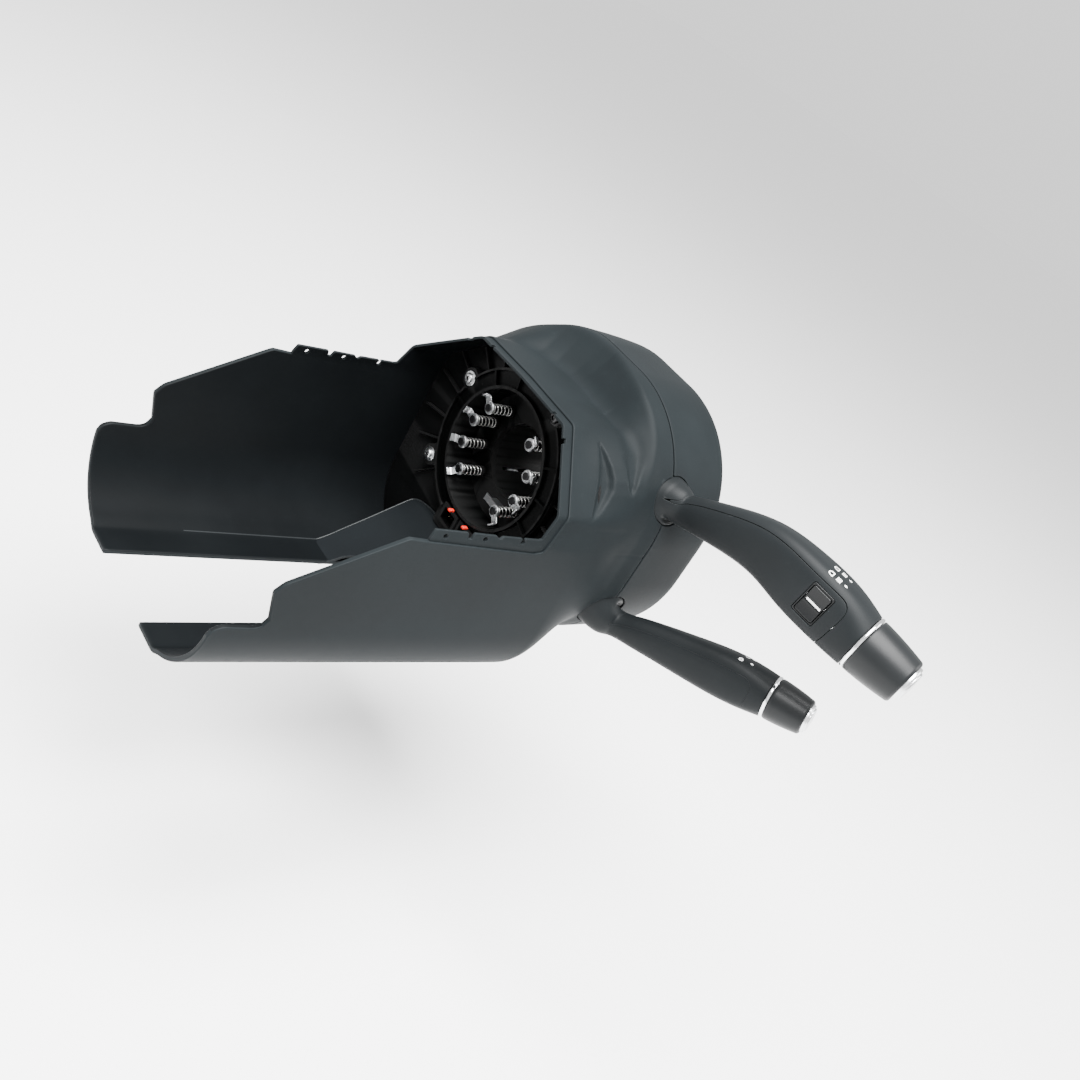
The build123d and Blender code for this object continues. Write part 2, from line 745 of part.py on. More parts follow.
# ===========================================================================
# Stalk modules: switch base, gimbal, lever core, ball boot
# ===========================================================================
for tag, fr in (("upper", UP), ("lower", LO)):
    with BuildPart() as base:
        with BuildSketch(fr.along_u(-10.0)):
            Rectangle(26.0, 22.0)
        extrude(amount=-26.0)
        with BuildSketch(fr.along_u(-10.0)):
            Rectangle(17.2, 16.8)
        extrude(amount=-23.0, mode=Mode.SUBTRACT)
        with BuildSketch(fr.along_w(-13.0)):
            with Locations((-3.0, 0)):
                Rectangle(16.0, 13.0)
        extrude(amount=4.0)
        with BuildSketch(fr.along_w(9.0)):
            with Locations((-3.0, 0)):
                Rectangle(16.0, 13.0)
        extrude(amount=4.0)
        with BuildSketch(fr.along_w(-14.0)):
            Circle(2.55)
        extrude(amount=28.0, mode=Mode.SUBTRACT)
        with BuildSketch(fr.along_u(-32.0)):
            Rectangle(10.0, 35.0)
            with Locations((0, 14.3), (0, -14.3)):
                Circle(1.7, mode=Mode.SUBTRACT)
            Rectangle(17.2, 16.8, mode=Mode.SUBTRACT)
        extrude(amount=-4.0)
    base.part.label = f"{tag}_switch_base"
    export_step(base.part, f"parts/{tag}_switch_base.step")

    with BuildPart() as detent:
        with BuildSketch(fr.along_u(-30.4)):
            Rectangle(17.0, 16.6)
        extrude(amount=-2.6)
        for v in (-4.1, 0.0, 4.1):
            with BuildSketch(Plane(origin=fr.at(u=-29.8, v=v, w=-8.5), x_dir=fr.u, z_dir=fr.w)):
                Circle(1.1)
            extrude(amount=17.0, mode=Mode.SUBTRACT)
    detent.part.label = f"{tag}_detent_plate"
    export_step(detent.part, f"parts/{tag}_detent_plate.step")

    with BuildPart() as yoke:
        with BuildSketch(fr.along_u(-5.0)):
            Rectangle(16.0, 16.0)
            Rectangle(10.4, 8.8, mode=Mode.SUBTRACT)
        extrude(amount=10.0)
        fillet(yoke.edges().filter_by(lambda e: abs(e.length - 10.0) < 1e-3).sort_by(
            lambda e: -(e.center() - fr.p).length)[:4], 1.5)
        with BuildSketch(fr.along_w(-9.0)):
            Circle(2.5)
        extrude(amount=18.0, mode=Mode.SUBTRACT)
        with BuildSketch(fr.along_v(-9.0)):
            Circle(2.0)
        extrude(amount=18.0, mode=Mode.SUBTRACT)
    yoke.part.label = f"{tag}_yoke"
    export_step(yoke.part, f"parts/{tag}_yoke.step")

    with BuildPart() as yoke_pins:
        for w in (-12.9, 5.6):
            with BuildSketch(fr.along_w(w)):
                Circle(2.5)
            extrude(amount=7.3)
    yoke_pins.part.label = f"{tag}_yoke_pins"
    export_step(yoke_pins.part, f"parts/{tag}_yoke_pins.step")

    with BuildPart() as cross_pin:
        with BuildSketch(fr.along_v(-7.9)):
            Circle(2.0)
        extrude(amount=15.8)
    cross_pin.part.label = f"{tag}_cross_pin"
    export_step(cross_pin.part, f"parts/{tag}_cross_pin.step")

    with BuildPart() as core:
        with BuildSketch(fr.along_u(-24.0)):
            RectangleRounded(7.6, 7.6, 1.0)
        extrude(amount=36.0)
        # neck through the ball, then the stem inside the stalk shells
        c0, c1 = fr.c0, fr.c1
        with BuildSketch(Plane(origin=fr.p + fr.nd * 11.0, x_dir=fr.w, z_dir=fr.nd)):
            Circle(6.0)
        extrude(amount=9.0)
        with BuildSketch(Plane(origin=fr.p + fr.nd * 18.0, x_dir=fr.w, z_dir=fr.nd)):
            Circle(4.0)
        extrude(amount=(c0 - fr.p).length - 18.0)
        with Locations(c0):
            Sphere(4.0)
        with BuildSketch(Plane(origin=c0, x_dir=fr.w, z_dir=c1 - c0)):
            Circle(4.0)
        extrude(amount=(c1 - c0).length + 12.0)
        with BuildSketch(fr.along_v(-5.0)):
            Circle(2.05)
        extrude(amount=10.0, mode=Mode.SUBTRACT)
        with BuildSketch(fr.along_u(-25.0)):
            Circle(2.3)
        extrude(amount=13.0, mode=Mode.SUBTRACT)
    core.part.label = f"{tag}_lever_core"
    export_step(core.part, f"parts/{tag}_lever_core.step")

    with BuildPart() as plunger:
        with BuildSketch(fr.along_u(-17.0)):
            Circle(2.25)
        extrude(amount=-13.0)
        fillet(plunger.faces().sort_by(lambda f: (f.center() - fr.p).length)[-1].edges(), 2.0)
    plunger.part.label = f"{tag}_detent_plunger"
    export_step(plunger.part, f"parts/{tag}_detent_plunger.step")

    with BuildPart() as spring:
        with BuildSketch(fr.along_u(-17.0)):
            Circle(2.1)
            Circle(1.4, mode=Mode.SUBTRACT)
        extrude(amount=5.0)
    spring.part.label = f"{tag}_detent_spring"
    export_step(spring.part, f"parts/{tag}_detent_spring.step")

    with BuildPart() as boot:
        with BuildSketch(Plane(origin=fr.p, x_dir=fr.u, z_dir=fr.v)):
            with BuildLine():
                a0, a1 = math.radians(99.0), math.radians(0.0)
                p = [(BALL_R * math.cos(t), BALL_R * math.sin(t)) for t in (a0, (a0 + a1) / 2, a1)]
                q = [((BALL_R - 2) * math.cos(t), (BALL_R - 2) * math.sin(t)) for t in (a1, (a0 + a1) / 2, a0)]
                o = ThreePointArc(*p)
                Line(o @ 1, q[0])
                i = ThreePointArc(*q)
                Line(i @ 1, o @ 0)
            make_face()
        revolve(axis=Axis(origin=fr.p, direction=fr.u))
        with BuildSketch(Plane(origin=fr.p + fr.nd * 17.9, x_dir=fr.w, z_dir=fr.nd)):
            Circle(7.3 if tag == "upper" else 6.5)
        extrude(amount=2.0 if tag == "upper" else 1.6)
        with BuildSketch(Plane(origin=fr.p + fr.nd * 12.0, x_dir=fr.w, z_dir=fr.nd)):
            Circle(6.0)
        extrude(amount=12.0, mode=Mode.SUBTRACT)
    boot.part.label = f"{tag}_ball_boot"
    export_step(boot.part, f"parts/{tag}_ball_boot.step")

with BuildPart() as base_screws:
    for fr in (UP, LO):
        with BuildSketch(fr.along_u(-32.0)):
            with Locations((0, 14.3), (0, -14.3)):
                Circle(2.9)
        extrude(amount=2.2)
        with BuildSketch(fr.along_u(-32.0)):
            with Locations((0, 14.3), (0, -14.3)):
                Circle(1.55)
        extrude(amount=-9.5)
base_screws.part.label = "base_screws"
export_step(base_screws.part, "parts/base_screws.step")

# ===========================================================================
# Stalk shells, lofted along a bent centre line
# each station: centre, height, thickness, squareness
# ===========================================================================
TIP_DIR = {"upper": Vector(-0.948, -0.306, -0.077), "lower": Vector(-0.918, -0.359, 0.168)}
SPLIT = {"upper": (2.5, 8.2, 12.4, 13.6, 13.6, 11.5), "lower": (2.0, 4.5, 6.5, 7.5, 6.5)}
PANEL_END = {"upper": 14.0, "lower": 9.0}
SHELL_WALL = 2.2


class Stalk:
    def __init__(self, tag, fr):
        self.rows = STATIONS[tag]
        self.c = [Vector(*r[0]) for r in self.rows]
        self.a = TIP_DIR[tag].normalized()
        t = []
        for i in range(len(self.c)):
            if i == len(self.c) - 1:
                d = self.a
            elif i == 0:
                d = self.c[1] - self.c[0] + fr.u * 8.0
            else:
                d = self.c[i + 1] - self.c[i - 1]
            t.append(d.normalized())
        self.t = t
        self.tip = self.c[-1]

    def plane(self, i):
        n = Vector(0, 1, 0) - self.t[i] * self.t[i].Y
        return Plane(origin=self.c[i], x_dir=n.normalized(), z_dir=self.t[i])

    def outline(self, i, inset):
        h, b, e = self.rows[i][1] / 2 - inset, self.rows[i][2] / 2 - inset, self.rows[i][3]
        pts = []
        for k in range(24):
            a = 2 * math.pi * k / 24
            ca, sa = math.cos(a), math.sin(a)
            r = (abs(ca) ** e + abs(sa) ** e) ** (-1 / e)
            pts.append((b * r * ca, h * r * sa))
        return pts

    def axial(self, s=0.0):
        """Plane across the tip axis, s beyond the ring end of the shell."""
        n = Vector(0, 1, 0) - self.a * self.a.Y
        return Plane(origin=self.tip + self.a * s, x_dir=n.normalized(), z_dir=self.a)


ST = {"upper": Stalk("upper", UP), "lower": Stalk("lower", LO)}

# rocker frame on the panel of the upper stalk
_su = ST["upper"]
R_AX = (_su.c[4] - _su.c[3]).normalized()
_n = (Vector(0, 1, 0) - R_AX * R_AX.Y).normalized()
_up = _n.cross(R_AX).normalized()
if _up.Z < 0:
    _up = _up * -1.0
TILT = math.radians(2.5)
R_N = (_n * math.cos(TILT) - _up * math.sin(TILT)).normalized()
R_UP = (_up * math.cos(TILT) + _n * math.sin(TILT)).normalized()
R_C = _su.c[3] + (_su.c[4] - _su.c[3]) * 0.588 + _up * 1.2 - R_N * 0.7


def rocker_plane(n=0.0):
    """Plane across the rocker's outward normal; local x runs along the stalk."""
    return Plane(origin=R_C + R_N * n, x_dir=R_AX, z_dir=R_N)


for tag, fr in (("upper", UP), ("lower", LO)):
    st = ST[tag]
    low = [(c.X, c.Z + d) for c, d in zip(st.c, SPLIT[tag])]
    end = st.tip - st.a * PANEL_END[tag]
    first = st.c[0] - st.t[0] * 6.0
    poly = [(first.X, first.Z + SPLIT[tag][0])] + low[:-1] + [(end.X, end.Z + SPLIT[tag][-1])]
    poly += [(end.X + 1.5, end.Z - 40), (first.X + 20, first.Z - 70)]

    with BuildPart() as shell:
        for i in range(len(st.c)):
            with BuildSketch(st.plane(i)):
                with BuildLine():
                    Spline(*st.outline(i, 0.0), periodic=True)
                make_face()
        loft()
        for i in range(len(st.c)):
            with BuildSketch(st.plane(i)):
                with BuildLine():
                    Spline(*st.outline(i, SHELL_WALL), periodic=True)
                make_face()
        loft(mode=Mode.SUBTRACT)
        with BuildSketch(Plane(origin=(0, -90, 0), x_dir=(1, 0, 0), z_dir=(0, -1, 0))):
            with BuildLine():
                Polyline(*poly, close=True)
            make_face()
        extrude(amount=-140.0, mode=Mode.SUBTRACT)
    shell.part.label = f"{tag}_stalk_shell"
    export_step(shell.part, f"parts/{tag}_stalk_shell.step")

    with BuildPart() as panel:
        for i in range(len(st.c)):
            with BuildSketch(st.plane(i)):
                with BuildLine():
                    Spline(*st.outline(i, 0.0), periodic=True)
                make_face()
        loft()
        for i in range(len(st.c)):
            with BuildSketch(st.plane(i)):
                with BuildLine():
                    Spline(*st.outline(i, SHELL_WALL), periodic=True)
                make_face()
        loft(mode=Mode.SUBTRACT)
        with BuildSketch(Plane(origin=(0, -90, 0), x_dir=(1, 0, 0), z_dir=(0, -1, 0))):
            with BuildLine():
                Polyline(*poly, close=True)
            make_face()
        extrude(amount=-140.0, mode=Mode.INTERSECT)
        if tag == "upper":
            with BuildSketch(rocker_plane(2.0)):
                Rectangle(15.8, 22.2)
            extrude(amount=30.0, mode=Mode.SUBTRACT)
    panel.part.label = f"{tag}_stalk_panel"
    export_step(panel.part, f"parts/{tag}_stalk_panel.step")

    K = 1.0 if tag == "upper" else 0.775
    with BuildPart() as spindle:
        with BuildSketch(st.axial(-2.4)):
            Circle(15.2 * K - 1.0)
        extrude(amount=2.4)
        with BuildSketch(st.axial(0.0)):
            Circle(9.0 * K)
        extrude(amount=20.0 * K)
        with BuildSketch(st.axial(21.0 * K)):
            Circle(5.6 * K)
        extrude(amount=-13.0 * K, mode=Mode.SUBTRACT)
    spindle.part.label = f"{tag}_spindle"
    export_step(spindle.part, f"parts/{tag}_spindle.step")

    with BuildPart() as ring:
        with BuildSketch(st.axial(0.15)):
            Circle(18.0 * K)
            Circle(9.2 * K, mode=Mode.SUBTRACT)
        extrude(amount=2.3)
        fillet(ring.edges().filter_by(GeomType.CIRCLE).sort_by(SortBy.RADIUS)[-2:], 0.5)
    ring.part.label = f"{tag}_chrome_ring"
    export_step(ring.part, f"parts/{tag}_chrome_ring.step")

    with BuildPart() as knob:
        with BuildSketch(Plane(origin=st.tip, x_dir=st.axial().x_dir, z_dir=st.axial().y_dir)):
            # local x = across, local y = -axis
            with BuildLine():
                Polyline(
                    (9.06 * K, -2.75), (17.5 * K, -2.75), (17.5 * K, -4.5), (16.9 * K, -12 * K),
                    (14.6 * K, -32.2 * K), (13.9 * K, -33.0 * K), (12.35 * K, -33.0 * K),
                    (12.35 * K, -21.6 * K), (9.06 * K, -21.6 * K), close=True,
                )
            make_face()
        revolve(axis=Axis(origin=st.tip, direction=st.a))
    knob.part.label = f"{tag}_rotary_knob"
    export_step(knob.part, f"parts/{tag}_rotary_knob.step")

    with BuildPart() as button:
        with BuildSketch(st.axial(24.6 * K)):
            Circle(12.0 * K)
        extrude(amount=12.6 * K)
        fillet(button.edges().filter_by(GeomType.CIRCLE).sort_by(
            lambda e: (e.arc_center - st.tip).length)[-1], 1.2 * K)
        with BuildSketch(st.axial(24.6 * K)):
            Circle(3.0 * K)
        extrude(amount=-13.0 * K)
    button.part.label = f"{tag}_end_button"
    export_step(button.part, f"parts/{tag}_end_button.step")

    with BuildPart() as bspring:
        with BuildSketch(st.axial(8.2 * K)):
            Circle(5.3 * K)
            Circle(3.5 * K, mode=Mode.SUBTRACT)
        extrude(amount=16.2 * K)
    bspring.part.label = f"{tag}_button_spring"
    export_step(bspring.part, f"parts/{tag}_button_spring.step")

# ===========================================================================
# Rocker switch on the upper stalk
# ===========================================================================
with BuildPart() as rocker_bezel:
    with BuildSketch(rocker_plane(6.0)):
        Rectangle(15.6, 22.0)
        Rectangle(13.6, 20.2, mode=Mode.SUBTRACT)
    extrude(amount=9.4)
    with BuildSketch(rocker_plane(4.6)):
        Rectangle(15.6, 22.0)
    extrude(amount=1.4)
    with BuildSketch(Plane(origin=R_C + R_N * 9.5 - R_AX * 10, x_dir=R_N, z_dir=R_AX)):
        Circle(1.25)
    extrude(amount=20.0, mode=Mode.SUBTRACT)
rocker_bezel.part.label = "rocker_bezel"
export_step(rocker_bezel.part, "parts/rocker_bezel.step")

with BuildPart() as rocker_button:
    with BuildSketch(Plane(origin=R_C + R_N * 9.5 - R_AX * 6.4, x_dir=R_N, z_dir=R_AX)):
        # local x = normal, local y = across
        with BuildLine():
            Polyline((-1.6, -8.6), (4.2, -9.3), (6.2, -9.0), (5.5, 0), (6.2, 9.0), (4.2, 9.3), (-1.6, 8.6), close=True)
        make_face()
        Circle(1.2, mode=Mode.SUBTRACT)
    extrude(amount=12.8)
rocker_button.part.label = "rocker_button"
export_step(rocker_button.part, "parts/rocker_button.step")

with BuildPart() as rocker_pin:
    with BuildSketch(Plane(origin=R_C + R_N * 9.5 - R_AX * 7.7, x_dir=R_N, z_dir=R_AX)):
        Circle(1.2)
    extrude(amount=15.4)
rocker_pin.part.label = "rocker_pin"
export_step(rocker_pin.part, "parts/rocker_pin.step")

with BuildPart() as rocker_switch:
    with BuildSketch(rocker_plane(4.5)):
        Rectangle(12.0, 15.0)
    extrude(amount=-5.0)
rocker_switch.part.label = "rocker_switch"
export_step(rocker_switch.part, "parts/rocker_switch.step")

# numbers that the record and the joints use
for tag, fr in (("upper", UP), ("lower", LO)):
    print(tag, "pivot", tuple(fr.p), "u", tuple(fr.u), "v", tuple(fr.v))
    print(tag, "tip", tuple(ST[tag].tip), "axis", tuple(ST[tag].a))
print("rocker", tuple(R_C + R_N * 9.5), "axis", tuple(R_AX), "normal", tuple(R_N))
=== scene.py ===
import bpy
import bmesh
import json
import math
import numpy as np
from mathutils import Matrix, Vector


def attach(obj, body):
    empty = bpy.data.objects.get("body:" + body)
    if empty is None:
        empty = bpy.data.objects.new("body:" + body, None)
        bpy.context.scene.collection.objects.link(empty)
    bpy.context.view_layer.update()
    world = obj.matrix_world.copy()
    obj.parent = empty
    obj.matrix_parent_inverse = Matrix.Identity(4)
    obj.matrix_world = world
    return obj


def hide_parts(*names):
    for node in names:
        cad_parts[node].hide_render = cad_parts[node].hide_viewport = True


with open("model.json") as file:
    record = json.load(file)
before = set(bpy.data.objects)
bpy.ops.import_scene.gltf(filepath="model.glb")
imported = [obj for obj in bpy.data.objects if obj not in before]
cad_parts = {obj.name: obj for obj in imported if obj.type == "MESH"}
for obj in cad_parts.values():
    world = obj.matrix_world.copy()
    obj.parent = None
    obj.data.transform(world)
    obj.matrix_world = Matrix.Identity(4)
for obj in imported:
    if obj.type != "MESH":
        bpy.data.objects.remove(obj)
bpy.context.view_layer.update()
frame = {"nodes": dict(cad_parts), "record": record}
NODES = frame["nodes"]

# ---------------------------------------------------------------------------
# Row frame in metres: origin on the column axis at the drum seam,
# -Y to the driver, +X driver's right, +Z up. Lengths below are in mm.
# ---------------------------------------------------------------------------
MM = 0.001
DZ = -6.0
HX, HZ, R_CORNER = 93.5, 92.2, 78.5
Y_FRONT, WALL, LIP, SEAM = -57.0, 3.0, 1.2, 0.6
Y_TAIL, W_FRONT, W_TAIL, ZB_FRONT, ZB_TAIL = 265.0, 92.0, 86.2, 108.0, 105.0
SLOT_X, SLOT_Y = 29.2, 98.0
CLIP_Y, CLIP_Z, CLIP_R = (101.9, 129.2, 156.5), 11.6 + DZ, 2.0
SCREW_XZ = ((54.0, 24.0), (54.0, -36.0), (-26.0, 50.0), (-26.0, -62.0))
BALL_R, BALL_GAP = 19.0, 0.7
COLLECTION = bpy.context.scene.collection


def v3(*a):
    return np.array(a, float)


def unit(a):
    a = np.asarray(a, float)
    return a / np.linalg.norm(a)


def smooth01(t):
    t = np.clip(t, 0.0, 1.0)
    return t * t * (3 - 2 * t)


def drum_radii(deg, inset=0.0):
    """Radius of the drum's rounded-square outline about its centre."""
    a, b, r = HX - inset, HZ - inset, R_CORNER - inset
    t = np.radians(deg)
    c, s = np.abs(np.cos(t)), np.abs(np.sin(t))
    m = c * (a - r) + s * (b - r)
    out = m + np.sqrt(np.maximum(m * m - (a - r) ** 2 - (b - r) ** 2 + r * r, 0))
    out = np.where(a * s <= (b - r) * c, a / np.maximum(c, 1e-9), out)
    return np.where(b * c <= (a - r) * s, b / np.maximum(s, 1e-9), out)


class PivotFrame:
    """Pivot frame of a stalk: u outwards, v across, w along +Y (as in the CAD)."""

    def __init__(self, deg, y):
        c, s = math.cos(math.radians(deg)), math.sin(math.radians(deg))
        self.u, self.v, self.w = v3(c, 0, s), v3(s, 0, -c), v3(0, 1, 0)
        self.p = v3(84.0 * c, y, 84.0 * s + DZ)


UP, LO = PivotFrame(151.5, -4.0), PivotFrame(205.5, -2.0)


# ---------------------------------------------------------------------------
# Small mesh helpers
# ---------------------------------------------------------------------------
def new_object(name, verts, faces, normals=None, smooth=True):
    """Object from millimetre vertices; normals, if given, are one per vertex."""
    me = bpy.data.meshes.new(name)
    me.from_pydata([tuple(v) for v in np.asarray(verts) * MM], [], [tuple(int(i) for i in f) for f in faces])
    me.update()
    if smooth:
        me.shade_smooth()
    if normals is not None:
        me.normals_split_custom_set_from_vertices([tuple(n) for n in normals])
    ob = bpy.data.objects.new(name, me)
    COLLECTION.objects.link(ob)
    return ob


def finish_piece(ob, body, slot, mat, replaces=None):
    ob.data.materials.clear()
    ob.data.materials.append(mat)
    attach(ob, body)
    if replaces:
        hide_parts(*replaces)
    return ob


def shade_auto(ob, deg=35.0):
    """Smooth shading with edges sharper than deg kept sharp."""
    bm = bmesh.new()
    bm.from_mesh(ob.data)
    lim = math.radians(deg)
    for e in bm.edges:
        e.smooth = not (len(e.link_faces) == 2 and e.calc_face_angle(0.0) > lim)
    for f in bm.faces:
        f.smooth = True
    bm.to_mesh(ob.data)
    bm.free()
    return ob


def join_meshes(name, parts):
    """One object from several (verts mm, faces) pairs."""
    vs, fs, base = [], [], 0
    for v, f in parts:
        v = np.asarray(v, float)
        vs.append(v)
        fs += [tuple(int(i) + base for i in face) for face in f]
        base += len(v)
    return new_object(name, np.vstack(vs), fs)


def frame_matrix(origin, x, y):
    """3x3 rows: local x, local y, local z=x*y axes, with origin, for placing profiles."""
    x = unit(x)
    z = unit(np.cross(x, y))
    y = np.cross(z, x)
    return np.array(origin, float), x, y, z


def plate(name, loops, origin, x, y, depth, bevel=0.3, segs=2):
    """Plate with holes: loops are lists of (a, b) points in the plane (first outline, then holes).
    It is extruded from the plane along z = x*y by depth, with rounded edges."""
    cu = bpy.data.curves.new(name, "CURVE")
    cu.dimensions = "2D"
    cu.fill_mode = "BOTH"
    for loop in loops:
        sp = cu.splines.new("POLY")
        sp.points.add(len(loop) - 1)
        for p, (a, b) in zip(sp.points, loop):
            p.co = (a * MM, b * MM, 0, 1)
        sp.use_cyclic_u = True
    cu.extrude = max(abs(depth) / 2 - bevel, 0.01) * MM
    cu.bevel_depth = bevel * MM
    cu.bevel_resolution = segs
    cu.offset = -bevel * MM
    tmp = bpy.data.objects.new(name + "_tmp", cu)
    COLLECTION.objects.link(tmp)
    bpy.context.view_layer.update()
    me = bpy.data.meshes.new_from_object(tmp.evaluated_get(bpy.context.evaluated_depsgraph_get()))
    bpy.data.objects.remove(tmp)
    bpy.data.curves.remove(cu)
    o, X, Y, Z = frame_matrix(origin, x, y)
    c = o + Z * depth / 2
    m = Matrix(((X[0], Y[0], Z[0], c[0] * MM), (X[1], Y[1], Z[1], c[1] * MM), (X[2], Y[2], Z[2], c[2] * MM), (0, 0, 0, 1)))
    me.transform(m)
    me.name = name
    bm = bmesh.new()
    bm.from_mesh(me)
    bmesh.ops.remove_doubles(bm, verts=bm.verts, dist=1e-6)
    bmesh.ops.recalc_face_normals(bm, faces=bm.faces)
    bm.to_mesh(me)
    bm.free()
    ob = bpy.data.objects.new(name, me)
    COLLECTION.objects.link(ob)
    return shade_auto(ob, 40)


def circle(cx, cy, r, n=48, a0=0.0):
    return [(cx + r * math.cos(2 * math.pi * k / n + a0), cy + r * math.sin(2 * math.pi * k / n + a0)) for k in range(n)]


def rounded_rect(cx, cy, w, h, r, n=6, rot=0.0):
    pts = []
    for qx, qy, a in ((1, 1, 0), (-1, 1, 90), (-1, -1, 180), (1, -1, 270)):
        for k in range(n + 1):
            t = math.radians(a + 90.0 * k / n)
            pts.append((qx * (w / 2 - r) + r * math.cos(t), qy * (h / 2 - r) + r * math.sin(t)))
    c, s = math.cos(math.radians(rot)), math.sin(math.radians(rot))
    return [(cx + x * c - y * s, cy + x * s + y * c) for x, y in pts]


def lathe(profile, origin, axis, n=64, start=None):
    """Surface of revolution about axis through origin. profile: (axial, radius) points; both ends may touch the axis or the profile may be a closed loop."""
    axis = unit(axis)
    ref = start if start is not None else (v3(0, 0, 1) if abs(axis[2]) < 0.9 else v3(1, 0, 0))
    e1 = unit(np.cross(axis, ref))
    e2 = np.cross(axis, e1)
    closed = profile[0] == profile[-1]
    prof = profile[:-1] if closed else profile
    vs, fs, rings = [], [], []
    for a, r in prof:
        if r < 1e-6:
            rings.append([len(vs)])
            vs.append(np.asarray(origin) + axis * a)
        else:
            ring = []
            for k in range(n):
                t = 2 * math.pi * k / n
                ring.append(len(vs))
                vs.append(np.asarray(origin) + axis * a + (e1 * math.cos(t) + e2 * math.sin(t)) * r)
            rings.append(ring)
    pairs = list(zip(rings, rings[1:])) + ([(rings[-1], rings[0])] if closed else [])
    for A, B in pairs:
        if len(A) == 1 and len(B) == 1:
            continue
        for k in range(n):
            j = (k + 1) % n
            if len(A) == 1:
                fs.append((A[0], B[j], B[k]))
            elif len(B) == 1:
                fs.append((A[k], A[j], B[0]))
            else:
                fs.append((A[k], A[j], B[j], B[k]))
    return np.array(vs), fs


def tube(points, r, n=8, closed=False):
    """Round wire along a polyline, with rotation-minimising rings and flat end caps."""
    P = np.asarray(points, float)
    m = len(P)
    T = np.zeros_like(P)
    if closed:
        T = np.roll(P, -1, 0) - np.roll(P, 1, 0)
    else:
        T[1:-1] = P[2:] - P[:-2]
        T[0], T[-1] = P[1] - P[0], P[-1] - P[-2]
    T /= np.linalg.norm(T, axis=1)[:, None]
    ref = v3(0, 0, 1) if abs(T[0][2]) < 0.9 else v3(1, 0, 0)
    e = unit(np.cross(T[0], ref))
    vs, fs = [], []
    for i in range(m):
        e = e - T[i] * (e @ T[i])
        e = unit(e)
        b = np.cross(T[i], e)
        for k in range(n):
            a = 2 * math.pi * k / n
            vs.append(P[i] + (e * math.cos(a) + b * math.sin(a)) * r)
    rings = m if closed else m - 1
    for i in range(rings):
        for k in range(n):
            j = (k + 1) % n
            i2 = (i + 1) % m
            fs.append((i * n + k, i * n + j, i2 * n + j, i2 * n + k))
    if not closed:
        fs.append(tuple(range(n))[::-1])
        fs.append(tuple((m - 1) * n + k for k in range(n)))
    return np.array(vs), fs


def coil(origin, axis, r, wire, length, turns, per=20, n=7, start=None, close_ends=True):
    """Compression spring as wire mesh, its first and last turns wound close."""
    axis = unit(axis)
    ref = start if start is not None else (v3(0, 0, 1) if abs(axis[2]) < 0.9 else v3(1, 0, 0))
    e1 = unit(np.cross(axis, ref))
    e2 = np.cross(axis, e1)
    pts = []
    total = turns + (1.6 if close_ends else 0)
    m = int(total * per)
    for k in range(m + 1):
        q = total * k / m
        if close_ends:
            if q < 0.8:
                h = wire * q
            elif q > total - 0.8:
                h = length - 2 * wire + wire * (1 - (total - q)) + wire * 0.0
                h = length - wire - wire * (total - q)
            else:
                lo, hi = wire * 0.8, length - wire - wire * 0.8
                h = lo + (hi - lo) * (q - 0.8) / (total - 1.6)
        else:
            h = (length - wire) * q / total
        a = 2 * math.pi * q
        pts.append(np.asarray(origin) + axis * (h + wire / 2) + (e1 * math.cos(a) + e2 * math.sin(a)) * r)
    return tube(pts, wire / 2, n)


# ---------------------------------------------------------------------------
# Trimmed shells: a grid surface cut along a level line, given thickness and a
# rounded rim, with exact normals
# ---------------------------------------------------------------------------
def grid_normals(P, wrap):
    """Normals of a grid P[row, col], cols closed if wrap."""
    if wrap:
        dc = np.roll(P, -1, 1) - np.roll(P, 1, 1)
    else:
        dc = np.empty_like(P)
        dc[:, 1:-1] = P[:, 2:] - P[:, :-2]
        dc[:, 0], dc[:, -1] = P[:, 1] - P[:, 0], P[:, -1] - P[:, -2]
    dr = np.empty_like(P)
    dr[1:-1] = P[2:] - P[:-2]
    dr[0], dr[-1] = P[1] - P[0], P[-1] - P[-2]
    N = np.cross(dc, dr)
    return N / np.linalg.norm(N, axis=2)[:, :, None]


